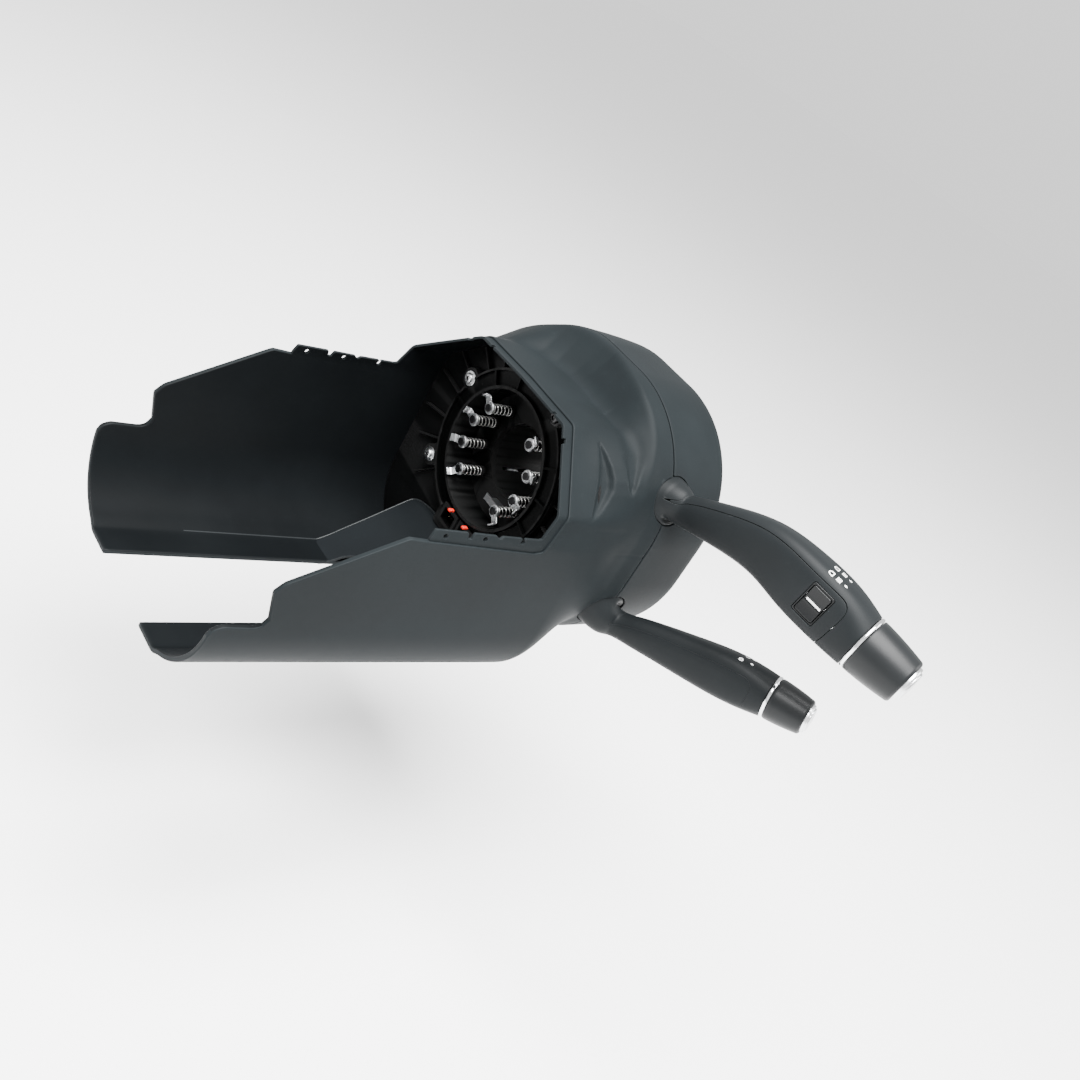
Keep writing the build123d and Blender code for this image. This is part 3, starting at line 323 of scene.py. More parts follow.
def trimmed_shell(name, P, F, thick, rho=0.6, wrap=True, flip=False, N=None, steps=3):
    """P[row, col, 3] outer surface in mm, F[row, col] > 0 kept. Returns an object."""
    rows, cols = F.shape
    if N is None:
        N = grid_normals(P, wrap)
        if flip:
            N = -N
    F = F.copy()
    F[np.abs(F) < 1e-4] = 1e-4
    keep = F > 0
    vid, verts, norms = {}, [], []

    def gv(i, j):
        key = (i, j)
        if key not in vid:
            vid[key] = len(verts)
            verts.append(P[i, j])
            norms.append(N[i, j])
        return vid[key]

    def ev(i, j, k, l):
        key = (i, j, k, l) if (i, j) < (k, l) else (k, l, i, j)
        if key not in vid:
            i, j, k, l = key
            t = F[i, j] / (F[i, j] - F[k, l])
            vid[key] = len(verts)
            verts.append(P[i, j] + (P[k, l] - P[i, j]) * t)
            n = N[i, j] + (N[k, l] - N[i, j]) * t
            norms.append(n / np.linalg.norm(n))
        return vid[key]

    faces = []
    last = cols if wrap else cols - 1
    for i in range(rows - 1):
        krow, krow2 = keep[i], keep[i + 1]
        for j in range(last):
            j2 = (j + 1) % cols
            a, b, c, d = krow[j], krow[j2], krow2[j2], krow2[j]
            if not (a or b or c or d):
                continue
            ring = ((i, j), (i, j2), (i + 1, j2), (i + 1, j))
            if a and b and c and d:
                faces.append([gv(*q) for q in ring])
                continue
            poly = []
            for q in range(4):
                p0, p1 = ring[q], ring[(q + 1) % 4]
                k0, k1 = keep[p0], keep[p1]
                if k0:
                    poly.append(gv(*p0))
                if k0 != k1:
                    poly.append(ev(*p0, *p1))
            if len(poly) >= 3:
                faces.append(poly)
    V, M = np.array(verts), np.array(norms)
    # orientation: faces must turn the same way as the normals
    f0 = faces[len(faces) // 2]
    g = np.cross(V[f0[1]] - V[f0[0]], V[f0[2]] - V[f0[1]])
    if g @ M[f0[0]] < 0:
        faces = [f[::-1] for f in faces]
    edges = {}
    for f in faces:
        for a, b in zip(f, f[1:] + f[:1]):
            if (b, a) in edges:
                del edges[(b, a)]
            else:
                edges[(a, b)] = True
    edges = list(edges)
    D = np.zeros_like(V)
    for a, b in edges:
        e = V[b] - V[a]
        L = np.linalg.norm(e)
        if L < 1e-7:
            continue
        out = np.cross(e / L, M[a] + M[b])
        w = min(L, 1.0)
        D[a] += out * w
        D[b] += out * w
    on = sorted({i for e in edges for i in e})
    for i in on:
        L = np.linalg.norm(D[i])
        D[i] = D[i] / L if L > 1e-9 else D[i]
    n = len(V)
    allv, alln = [V, V - M * thick], [M, -M]
    allf = [tuple(f) for f in faces] + [tuple(i + n for i in f[::-1]) for f in faces]
    idx = {v: k for k, v in enumerate(on)}
    ons = np.array(on)
    rings, rnorm, start = [], [], 2 * n
    prof = []
    for k in range(1, steps + 1):
        a = math.pi / 2 * k / steps
        prof.append((rho * math.sin(a), rho * (1 - math.cos(a)), a))
    for k in range(0, steps):
        a = math.pi / 2 * (1 + k / steps)
        prof.append((rho * math.sin(a), thick - rho * (1 + math.cos(a)), a))
    for out, down, a in prof:
        rings.append(V[ons] + D[ons] * out - M[ons] * down)
        rnorm.append(D[ons] * math.sin(a) + M[ons] * math.cos(a))
    m = len(ons)
    allv += rings
    alln += rnorm

    def rid(level, v):
        if level == 0:
            return v
        if level == len(prof) + 1:
            return v + n
        return start + (level - 1) * m + idx[v]

    for a, b in edges:
        for lv in range(len(prof) + 1):
            allf.append((rid(lv, a), rid(lv + 1, a), rid(lv + 1, b), rid(lv, b)))
    ob = new_object(name, np.vstack(allv), allf, np.vstack(alln))
    return ob


def poly_distance(py, pz, poly):
    """Signed distance of points to a closed polygon, positive outside it."""
    pts = np.array(poly, float)
    shape = py.shape
    y, z = py.ravel(), pz.ravel()
    best = np.full(y.shape, 1e9)
    inside = np.zeros(y.shape, bool)
    for (y0, z0), (y1, z1) in zip(pts, np.roll(pts, -1, 0)):
        ey, ez = y1 - y0, z1 - z0
        L = ey * ey + ez * ez
        t = np.clip(((y - y0) * ey + (z - z0) * ez) / L, 0, 1)
        best = np.minimum(best, np.hypot(y - y0 - ey * t, z - z0 - ez * t))
        cond = (z0 > z) != (z1 > z)
        if ez != 0:
            yi = y0 + ey * (z - z0) / ez
            inside ^= cond & (y < yi)
    return np.where(inside, -best, best).reshape(shape)


# ---------------------------------------------------------------------------
# Materials: node-based, no images
# ---------------------------------------------------------------------------
class Nodes:
    """Small builder round a material's node tree."""

    def __init__(self, mat):
        mat.use_nodes = True
        self.t = mat.node_tree
        self.b = self.t.nodes["Principled BSDF"]
        self.co = self.t.nodes.new("ShaderNodeTexCoord").outputs["Object"]

    def new(self, kind, **props):
        n = self.t.nodes.new(kind)
        for k, v in props.items():
            setattr(n, k, v)
        return n

    def link(self, a, b):
        self.t.links.new(a, b)

    def noise(self, scale, detail=2.0, rough=0.5, stretch=None):
        n = self.new("ShaderNodeTexNoise")
        n.inputs["Scale"].default_value = scale
        n.inputs["Detail"].default_value = detail
        n.inputs["Roughness"].default_value = rough
        if stretch:
            m = self.new("ShaderNodeMapping")
            m.inputs["Scale"].default_value = stretch
            self.link(self.co, m.inputs["Vector"])
            self.link(m.outputs["Vector"], n.inputs["Vector"])
        else:
            self.link(self.co, n.inputs["Vector"])
        return n.outputs["Fac"]

    def voronoi(self, scale, feature="F1"):
        n = self.new("ShaderNodeTexVoronoi", feature=feature)
        n.inputs["Scale"].default_value = scale
        self.link(self.co, n.inputs["Vector"])
        return n.outputs["Distance"]

    def remap(self, v, a, b, c, d, smooth=False):
        n = self.new("ShaderNodeMapRange", interpolation_type="SMOOTHSTEP" if smooth else "LINEAR")
        for k, x in zip(("From Min", "From Max", "To Min", "To Max"), (a, b, c, d)):
            n.inputs[k].default_value = x
        self.link(v, n.inputs["Value"])
        return n.outputs["Result"]

    def math(self, op, a, b):
        n = self.new("ShaderNodeMath", operation=op)
        for i, x in enumerate((a, b)):
            if isinstance(x, (int, float)):
                n.inputs[i].default_value = x
            else:
                self.link(x, n.inputs[i])
        return n.outputs[0]

    def mix(self, fac, a, b):
        n = self.new("ShaderNodeMix", data_type="RGBA")
        if isinstance(fac, (int, float)):
            n.inputs["Factor"].default_value = fac
        else:
            self.link(fac, n.inputs["Factor"])
        for key, x in (("A", a), ("B", b)):
            sock = [s for s in n.inputs if s.name == key and s.type == "RGBA"][0]
            if isinstance(x, tuple):
                sock.default_value = (*x, 1.0) if len(x) == 3 else x
            else:
                self.link(x, sock)
        return [s for s in n.outputs if s.type == "RGBA"][0]

    def bump(self, height, distance, strength=1.0, under=None):
        n = self.new("ShaderNodeBump")
        n.inputs["Strength"].default_value = strength
        n.inputs["Distance"].default_value = distance
        self.link(height, n.inputs["Height"])
        if under is not None:
            self.link(under, n.inputs["Normal"])
        return n.outputs["Normal"]

    def edges(self, lo=0.505, hi=0.56):
        g = self.new("ShaderNodeNewGeometry")
        return self.remap(g.outputs["Pointiness"], lo, hi, 0.0, 1.0, True)


def plastic(mat, color, rough, grain=2600.0, depth=0.00004, spread=0.06, edge_wear_and_highlight=0.12, spec=0.5, coat=0.0):
    """Moulded plastic: erosion grain, blotchy gloss, slightly polished edges and a trace of dust. Edges are also
    lightened in colour: wear, and on the dark interior parts painted edge highlight.
    """
    n = Nodes(mat)
    fine = n.noise(grain, 3.0, 0.6)
    cell = n.voronoi(grain * 0.55)
    height = n.math("ADD", n.math("MULTIPLY", fine, 0.6), n.math("MULTIPLY", cell, 0.5))
    big = n.noise(14.0, 4.0, 0.55)
    mid = n.noise(160.0, 3.0, 0.6)
    edge = n.edges()
    lo = tuple(c * 0.88 for c in color)
    hi = tuple(min(1.0, c * 1.12) for c in color)
    col = n.mix(n.remap(big, 0.35, 0.65, 0.0, 1.0), lo, hi)
    dusty = tuple(min(1.0, c * 1.8 + 0.002) for c in color)
    col = n.mix(n.math("MULTIPLY", n.remap(mid, 0.62, 0.78, 0.0, 1.0), 0.10), col, dusty)
    # edges lightened in colour: wear, and where the share is high (interior parts) painted edge highlight
    col = n.mix(n.math("MULTIPLY", edge, edge_wear_and_highlight), col, tuple(min(1.0, c * 2.2 + 0.02) for c in color))
    n.link(col, n.b.inputs["Base Color"])
    r = n.math("ADD", n.remap(big, 0.3, 0.7, rough - spread * 0.5, rough + spread * 0.5), n.remap(fine, 0.3, 0.7, -0.03, 0.03))
    r = n.math("SUBTRACT", r, n.math("MULTIPLY", edge, 0.08))
    n.link(r, n.b.inputs["Roughness"])
    n.b.inputs["Specular IOR Level"].default_value = spec
    if coat:
        n.b.inputs["Coat Weight"].default_value = coat
        n.b.inputs["Coat Roughness"].default_value = 0.25
    n.link(n.bump(height, depth, 0.55), n.b.inputs["Normal"])
    return mat


def metal(mat, color, rough, brush=None, depth=0.00002, tarnish=(0.18, 0.17, 0.15), tarnish_amount=0.25, grain=900.0):
    """Bare or plated metal: fine scratches along one direction, tarnish in noise patches, bright edges."""
    n = Nodes(mat)
    scratch = n.noise(grain, 4.0, 0.65, stretch=brush or (1.0, 1.0, 1.0))
    big = n.noise(60.0, 3.0, 0.5)
    edge = n.edges(0.5, 0.58)
    col = n.mix(n.math("MULTIPLY", n.remap(big, 0.45, 0.75, 0.0, 1.0), tarnish_amount), color, tarnish)
    col = n.mix(n.math("MULTIPLY", edge, 0.35), col, tuple(min(1.0, c * 1.25) for c in color))
    n.link(col, n.b.inputs["Base Color"])
    n.b.inputs["Metallic"].default_value = 1.0
    r = n.math("ADD", n.remap(scratch, 0.3, 0.7, rough * 0.75, rough * 1.3), n.remap(big, 0.3, 0.7, -0.03, 0.05))
    n.link(r, n.b.inputs["Roughness"])
    n.link(n.bump(scratch, depth, 0.4), n.b.inputs["Normal"])
    return mat


def material(name):
    m = bpy.data.materials.new(name)
    m.use_nodes = True
    return m


MAT = {}


def build_materials():
    m = MAT
    m["housing"] = plastic(material("charcoal_grain"), (0.0066, 0.0083, 0.0091), 0.52, 2600, 0.00005, 0.06, 0.12, 0.035)
    # inner faces of the shroud: same moulding as the outside, colour darkened as painted shade
    m["inside"] = plastic(material("charcoal_inner_face_painted_shade"), (0.0031, 0.0037, 0.0041), 0.44, 2600, 0.00004, 0.08, 0.2, 0.032)
    m["ramp"] = plastic(material("charcoal_ramp"), (0.0052, 0.0062, 0.0069), 0.48, 2600, 0.00004, 0.08, 0.3, 0.03)
    m["bead"] = plastic(material("bead_gloss"), (0.0075, 0.0088, 0.0095), 0.36, 2400, 0.00002, 0.05, 0.2, 0.13)
    # near-black interior: bulkhead, ribs, bosses, tongue and pillars are housing plastic painted near-black as shade of
    # the deep cavity; the module is black plastic darkened further as painted shade
    m["inner"] = plastic(material("moulded_black_painted_shade"), (0.0008, 0.0009, 0.0010), 0.38, 1800, 0.000025, 0.08, 0.32, 0.045)
    m["module"] = plastic(material("module_black_painted_shade"), (0.0007, 0.0008, 0.0008), 0.40, 2200, 0.00003, 0.08, 0.35, 0.05)
    m["stalk"] = plastic(material("stalk_soft_black"), (0.0066, 0.0077, 0.0083), 0.46, 3200, 0.00003, 0.05, 0.12, 0.07)
    m["knob"] = plastic(material("knob_black"), (0.0060, 0.0068, 0.0073), 0.40, 3000, 0.00003, 0.06, 0.15, 0.15)
    m["rocker"] = plastic(material("rocker_gloss_black"), (0.0034, 0.0038, 0.0041), 0.30, 3400, 0.000015, 0.06, 0.2, 0.13)
    m["boot"] = plastic(material("boot_satin"), (0.0064, 0.0074, 0.0080), 0.42, 3000, 0.00002, 0.05, 0.1, 0.07)
    m["acetal"] = plastic(material("natural_acetal"), (0.62, 0.60, 0.55), 0.35, 2400, 0.00002, 0.05, 0.05)
    m["red"] = plastic(material("red_lock"), (0.55, 0.02, 0.012), 0.30, 2400, 0.00002, 0.05, 0.1)
    m["board"] = plastic(material("solder_mask"), (0.012, 0.09, 0.035), 0.28, 3200, 0.00002, 0.08, 0.1)
    m["ribbon"] = plastic(material("polyimide_tape"), (0.20, 0.11, 0.03), 0.3, 2400, 0.00002, 0.08, 0.1)
    m["white"] = plastic(material("white_print"), (0.72, 0.73, 0.72), 0.45, 3200, 0.00002, 0.05, 0.0)
    m["copper"] = metal(material("copper_wire_red"), (0.6, 0.16, 0.08), 0.3)
    m["chrome"] = metal(material("chrome"), (0.80, 0.81, 0.82), 0.10, (1, 1, 1), 0.000006, (0.5, 0.5, 0.5), 0.12, 700)
    m["silver"] = metal(material("silver_paint"), (0.72, 0.73, 0.74), 0.27, (1, 1, 1), 0.00001, (0.5, 0.5, 0.5), 0.15, 2600)
    m["zinc"] = metal(material("zinc_plate"), (0.60, 0.61, 0.62), 0.28, (1, 6, 1), 0.00002, (0.28, 0.27, 0.24), 0.3, 900)
    m["spring"] = metal(material("spring_wire"), (0.45, 0.45, 0.44), 0.26, (1, 1, 1), 0.00001, (0.15, 0.14, 0.12), 0.4, 1400)
    m["sheet"] = metal(material("stamped_sheet"), (0.36, 0.37, 0.38), 0.32, (8, 1, 1), 0.00002, (0.14, 0.13, 0.12), 0.35, 500)
    m["brass"] = metal(material("tinned_brass"), (0.70, 0.60, 0.40), 0.28, (1, 1, 1), 0.00001, (0.35, 0.27, 0.15), 0.3, 1400)
    # blackened steel; on the near-side screw heads it stands for painted shade
    m["blackened"] = metal(material("blackened_steel_and_painted_shade"), (0.035, 0.035, 0.036), 0.32, (1, 1, 1), 0.00002, (0.02, 0.02, 0.02), 0.4, 900)
    m["floor"] = material("pale_floor")


SLOT_MATERIAL = {
    "housing_plastic": "housing", "inner_plastic": "module", "stalk_plastic": "stalk", "boot_rubber": "boot", "chrome_trim": "chrome",
    "silver_button": "silver", "zinc_steel": "zinc", "spring_steel": "spring", "sheet_steel": "sheet", "acetal": "acetal",
    "red_lock": "red", "pin_brass": "brass", "board_green": "board", "ribbon_tan": "ribbon",
}


def dress_cad_nodes():
    """Every CAD node that stays gets the procedural material of its slot."""
    slots = {s["node"]: s["material_slot"] for s in frame["record"]["subparts"]}
    for name, ob in NODES.items():
        mat = MAT[SLOT_MATERIAL[slots[name]]]
        if name in ("rocker_button", "rocker_bezel"):
            mat = MAT["rocker"]
        if name == "contact_posts":
            mat = MAT["blackened"]
        if not ob.material_slots:
            ob.data.materials.append(mat)
        for s in ob.material_slots:
            s.material = mat


# ---------------------------------------------------------------------------
# Housing skin
# ---------------------------------------------------------------------------
def hull_outline(W, zb, inset):
    r = 48.3
    pts = [(0.0, -zb + inset), (50.0, -zb + inset)]
    cx, cz = W - r, -zb + 48.6
    for k in range(1, 15):
        a = math.radians(-75.0 + 75.0 * k / 14)
        pts.append((cx + (r - inset) * math.cos(a), cz + (r - inset) * math.sin(a)))
    pts += [(W + 0.8 - inset, 9.0), (W - 2.0 - inset, 29.0 - 0.4 * inset), (47.2 - 0.5 * inset, 65.5 - inset), (0.0, 66.5 - inset)]
    return pts


FINE = np.arange(0, 360, 0.25)
_half = np.radians(np.arange(-90, 90.01, 0.25))


def hull_fine(W, zb, inset, sigma):
    """Shroud outline radius on the fine angle grid, its corners rounded by sigma degrees."""
    pts = hull_outline(W, zb, inset)
    dx, dz = np.abs(np.cos(_half)), np.sin(_half)
    best = np.zeros(_half.shape)
    for (x0, z0), (x1, z1) in zip(pts, pts[1:]):
        ex, ez = x1 - x0, z1 - z0
        det = dx * (-ez) - dz * (-ex)
        det = np.where(np.abs(det) < 1e-9, 1e-9, det)
        t = (x0 * (-ez) - z0 * (-ex)) / det
        u = (dx * z0 - dz * x0) / det
        best = np.where((t > 0) & (u >= -1e-6) & (u <= 1 + 1e-6), np.maximum(best, t), best)
    r = np.empty(1440)
    ang = np.arange(1440) * 0.25  # 0..360 about +X
    a = np.where(ang > 180, ang - 360, ang)
    a = np.where(np.abs(a) > 90, np.where(a > 0, 180 - a, -180 - a), a)
    r = np.interp(a, np.degrees(_half), best)
    n = int(4 * sigma / 0.25) + 1
    k = np.exp(-0.5 * (np.arange(-n, n + 1) * 0.25 / sigma) ** 2)
    k /= k.sum()
    return np.convolve(np.concatenate([r[-n:], r, r[:n]]), k, "valid")


def lut(x, rows):
    return np.interp(x, [a for a, _ in rows], [b for _, b in rows])


RIDGE = ((0, 12.0), (30, 16.0), (40, 20.0), (46, 17.5), (53, 13.0), (60, 9.0), (87, 5.0), (101, 10.5), (112.8, 13.0), (122, 13.2), (128, 13.8), (132.7, 14.6), (138.4, 16.5), (143.7, 18.5), (149, 20.0), (155, 21.5), (160, 22.5), (180, 24.0))
VALLEY = ((0, 52.0), (40, 56.0), (50, 52.0), (55, 47.0), (61, 33.0), (69, 27.0), (80, 23.5), (92, 23.0), (113, 24.5), (124, 27.0), (130, 25.5), (136, 24.2), (142, 24.5), (147, 25.0), (152, 26.2), (157, 28.0), (164, 31.0), (180, 35.0))
FULLER = ((108, 0.0), (124, 2.2), (130, 5.6), (136, 9.0), (141.7, 10.3), (147.4, 10.3), (152, 8.6), (157, 5.2), (162, 1.8), (166, 0.0))


def soft_ramp(x, s):
    return np.where(x < -s, 0.0, np.where(x > s, x, (x + s) ** 2 / (4 * s)))


def skin_radii(Y, deg, inset):
    """Radius about the drum centre for rows Y and columns deg."""
    out = np.empty((len(Y), len(deg)))
    d = np.mod(deg, 360.0)
    dd = np.where(d > 270, d - 360, d)
    yr, yv = lut(dd, RIDGE), lut(dd, VALLEY)
    full = lut(dd, FULLER)
    s = np.sin(np.radians(dd))
    k = smooth01((s + 0.35) / 0.5)
    cache = {}
    for i, y in enumerate(Y):
        drum = drum_radii(d, inset) - 1.6 * smooth01(y / 14.0)
        f = max(0.0, (y - 49.0) / (Y_TAIL - 49.0))
        sigma = 3.2 - 2.3 * smooth01((y - 24.0) / 52.0)
        W = W_FRONT + (W_TAIL - W_FRONT) * f
        zb = ZB_FRONT + (ZB_TAIL - ZB_FRONT) * f
        key = (round(W, 4), round(zb, 4), round(float(sigma), 3))
        if key not in cache:
            cache[key] = hull_fine(W, zb, inset, float(sigma))
        hull = np.interp(d, np.arange(1441) * 0.25, np.append(cache[key], cache[key][0]))
        hull = hull + full * (1.0 - smooth01((y - 24.0) / 45.0))
        low = smooth01((y - 9.0) / 40.0)
        high = (soft_ramp(y - yr, 2.2) - soft_ramp(y - yv, 4.5)) / (yv - yr)
        high = np.clip(high, 0, 1)
        w = low + (high - low) * k
        out[i] = drum + (hull - drum) * w
    return out


def arch_y(z, back=0.0):
    return 92.6 - back - 0.303 * (z - DZ)


OUTER_CUT = [
    (arch_y(130, 6.5), 130), (arch_y(6.0 + DZ, 6.5), 6.0 + DZ), (90.0, 4.5 + DZ), (163.0, 7.5 + DZ),
    (178.6, 8.6 + DZ), (236.3, -25.2 + DZ), (240.5, -31.0 + DZ), (235.5, -49.0 + DZ),
    (238.0, -53.4 + DZ), (242.0, -54.4 + DZ), (259.0, -54.0 + DZ), (263.5, -56.5 + DZ),
    (265.6, -62.0 + DZ), (290, -62.0 + DZ), (290, 130),
]
LIP_CUT = [
    (arch_y(130), 130), (arch_y(14.0 + DZ), 14.0 + DZ), (90.5, 13.4 + DZ), (117.0, 13.6 + DZ),
    (119.0, 11.8 + DZ), (122.0, 13.8 + DZ), (137.6, 14.2 + DZ), (138.6, 10.6 + DZ), (141.0, 10.6 + DZ),
    (142.0, 14.3 + DZ), (164.3, 14.7 + DZ), (165.8, 9.0 + DZ), (166.0, -10.0 + DZ), (290, -10.0), (290, 130),
]

# finger scoop on the near chamfer: edge towards the drum and edge towards the arch, by height
SCOOP_A = ((24.0, 60.5), (29.5, 58.6), (31.5, 54.6), (34.5, 50.4), (39.6, 45.8), (45.0, 42.6), (49.6, 42.2), (54.0, 43.4), (58.2, 46.0), (62.0, 49.3), (66, 50.5))
SCOOP_B = ((24.0, 60.5), (29.5, 58.7), (37.1, 56.4), (45.0, 54.4), (54.8, 51.8), (62.0, 49.6), (66, 50.5))


# V-shaped hollow beside the seam flange, above the upper ball: its two arms by height
VEE_A = ((43.6, 31.0), (47.4, 28.3), (53.4, 25.0), (60.4, 20.9), (68.0, 17.6), (72.0, 16.6))
VEE_B = ((43.6, 31.2), (46.9, 33.1), (53.3, 35.2), (58.9, 36.3), (64.0, 35.6), (72.0, 35.2))


def scoop(X, Y, Z):
    """Depth of the scoop on the near chamfer and of the hollow beside it (Z about the drum centre)."""
    va, vb = lut(Z, VEE_A), lut(Z, VEE_B)
    q = (Y - va) / np.maximum(vb - va, 0.05)
    deep = 1.9 * smooth01((Z - 43.6) / 5.5) * (1 - smooth01((Z - 55.0) / 19.0))
    vee = np.where((X < -30) & (q > 0) & (q < 1) & (Z > 43.6) & (Z < 74.0), deep * smooth01(q / 0.30) * smooth01((1 - q) / 0.42), 0.0)
    a, b = lut(Z, SCOOP_A), lut(Z, SCOOP_B)
    width = np.maximum(b - a, 0.05)
    u = (Y - a) / width
    v = np.clip((Z - 29.4) / (62.2 - 29.4), 0, 1)
    g = np.clip(np.sin(math.pi * v), 0, 1) ** 0.55
    f = smooth01(u / 0.36) * smooth01((1 - u) / 0.34)
    return vee + np.where((X < -30) & (u > 0) & (u < 1) & (Z > 29.4) & (Z < 62.4), 2.7 * g * f, 0.0)


def rounded_box_distance(x, y, cx, cy, hx, hy, r):
    qx, qy = np.abs(x - cx) - (hx - r), np.abs(y - cy) - (hy - r)
    return np.hypot(np.maximum(qx, 0), np.maximum(qy, 0)) + np.minimum(np.maximum(qx, qy), 0) - r


def skin_grid(Y, deg, inset):
    R = skin_radii(Y, deg, inset)
    a = np.radians(deg)
    YY = np.repeat(Y[:, None], len(deg), 1)
    P = np.stack([R * np.cos(a), YY, R * np.sin(a) + DZ], axis=2)
    N = grid_normals(P, True)
    if (N[len(Y) // 2, 0] @ v3(math.cos(a[0]), 0, math.sin(a[0]))) < 0:
        N = -N
    d = scoop(P[..., 0], P[..., 1], P[..., 2] - DZ)
    if inset < 0.1:
        P = P - N * d[..., None]
        # fine draft line on the near side, running back from the seam
        zz = P[..., 2] - DZ
        line = np.exp(-((zz - 7.3) / 0.7) ** 2) * (P[..., 0] < 0) * (1 - smooth01((P[..., 1] - 14.0) / 18.0))
        P = P - N * (0.28 * line)[..., None]
    N = grid_normals(P, True)
    if (N[len(Y) // 2, 0] @ v3(math.cos(a[0]), 0, math.sin(a[0]))) < 0:
        N = -N
    return P, N


def ball_distance(P):
    d = np.full(P.shape[:2], 1e9)
    for fr in (UP, LO):
        d = np.minimum(d, np.linalg.norm(P - fr.p, axis=2) - (BALL_R + BALL_GAP))
    return d


def build_housing(mat_out, mat_in):
    rho = 0.7
    Y = np.concatenate([np.linspace(SEAM + rho, 30, 36), np.linspace(30.9, 60, 28), np.linspace(61.2, 100, 32), np.linspace(102.2, Y_TAIL - rho, 78)])
    deg = np.arange(0, 360, 0.75) - 90.0
    P, N = skin_grid(Y, deg, 0.0)
    F = poly_distance(P[..., 1], P[..., 2], OUTER_CUT)
    sl = rounded_box_distance(P[..., 0], P[..., 1], 0.0, (SLOT_Y + 330) / 2, SLOT_X, (330 - SLOT_Y) / 2, 12.0)
    F = np.minimum(F, np.where(P[..., 2] < -50, sl, 1e3))
    F = np.minimum(F, ball_distance(P))
    shell = trimmed_shell("housing_shell", P, F - rho, WALL, rho, True, N=N)
    # the clip strip and arch lip, set in from the skin
    rho2 = 0.25
    Yl = np.concatenate([np.linspace(62, 96, 56), np.linspace(96.6, 172, 122)])
    dl = np.arange(-12.0, 192.01, 0.42)
    R = skin_radii(Yl, dl, LIP)
    a = np.radians(dl)
    YY = np.repeat(Yl[:, None], len(dl), 1)
    Pl = np.stack([R * np.cos(a), YY, R * np.sin(a) + DZ], axis=2)
    Nl = grid_normals(Pl, False)
    mid = len(dl) // 2
    if Nl[5, mid] @ v3(math.cos(a[mid]), 0, math.sin(a[mid])) < 0:
        Nl = -Nl
    Fl = poly_distance(Pl[..., 1], Pl[..., 2], LIP_CUT)
    band = np.where(Pl[..., 2] > DZ, Pl[..., 1] - arch_y(Pl[..., 2], 12.0), 1e3)
    band = np.where(Pl[..., 1] > 84, np.minimum(np.where(Pl[..., 2] > 14 + DZ, band, 1e3), Pl[..., 2] - (-1.0 + DZ)), np.minimum(band, Pl[..., 2] - (-1.0 + DZ)))
    Fl = np.minimum(Fl, band)
    for cy in CLIP_Y:
        Fl = np.minimum(Fl, np.hypot(Pl[..., 1] - cy, Pl[..., 2] - CLIP_Z + 0.35) - 1.5)
    # small notches in the arch lip
    for sx in (-1, 1):
        for ang, half in ((133.0, 1.5), (118.5, 1.1)):
            aa = math.radians(ang)
            cx = sx * abs(math.cos(aa))
            dist = np.abs((Pl[..., 0] * math.sin(aa) - sx * (Pl[..., 2] - DZ) * abs(math.cos(aa)))) - half
            inlip = arch_y(Pl[..., 2], 0.0) - Pl[..., 1]
            F_n = np.maximum(dist, inlip - 2.2)
            Fl = np.where((Pl[..., 2] - DZ > 30) & (np.sign(Pl[..., 0]) == sx), np.minimum(Fl, F_n), Fl)
    lip = trimmed_shell("housing_clip_strip", Pl, Fl - rho2, WALL - LIP, rho2, False, N=Nl, steps=2)
    return shell, lip


# ---------------------------------------------------------------------------
# Front cover: driver's side of the drum
# ---------------------------------------------------------------------------
COVER_PROFILE = [(-0.95, 0.02), (-4.0, 0.08), (-8.0, 0.18), (-14.0, 0.34), (-20.0, 0.52), (-26.0, 0.78), (-32.0, 1.1), (-38.0, 1.5), (-43.0, 1.88), (-47.0, 2.28), (-49.6, 2.7), (-51.3, 3.2), (-52.8, 3.95), (-54.1, 4.95), (-55.2, 6.3), (-56.0, 7.9), (-56.6, 9.8), (-56.9, 12.0), (-57.0, 14.5), (-57.0, 18.0), (-57.0, 22.0)]


def cover_grid():
    deg = np.arange(0, 360, 0.75)
    a = np.radians(deg)
    rows = []
    # densify the profile
    prof = []
    for (y0, i0), (y1, i1) in zip(COVER_PROFILE, COVER_PROFILE[1:]):
        k = max(1, int(round(math.hypot(y1 - y0, i1 - i0) / 1.6)))
        prof += [(y0 + (y1 - y0) * q / k, i0 + (i1 - i0) * q / k) for q in range(k)]
    prof.append(COVER_PROFILE[-1])
    for y, ins in prof:
        r = drum_radii(deg, ins)
        rows.append(np.stack([r * np.cos(a), np.full(len(a), y), r * np.sin(a) + DZ], 1))
    # front face runs in to a round opening about the column axis, then dips to the dish
    last = rows[-1]
    ring = np.stack([62.0 * np.cos(a), np.full(len(a), -57.0), 62.0 * np.sin(a)], 1)
    for q in (0.35, 0.7, 1.0):
        rows.append(last + (ring - last) * q)
    for y, r in ((-56.9, 61.4), (-56.6, 60.9), (-56.1, 60.6), (-55.3, 60.4), (-54.6, 60.1), (-54.2, 59.4), (-54.0, 58.6), (-54.0, 56.0), (-54.0, 52.6), (-53.8, 51.4), (-53.3, 50.5), (-52.5, 49.8), (-51.0, 49.3), (-47.0, 49.0)):
        rows.append(np.stack([r * np.cos(a), np.full(len(a), y), r * np.sin(a)], 1))
    return np.array(rows)


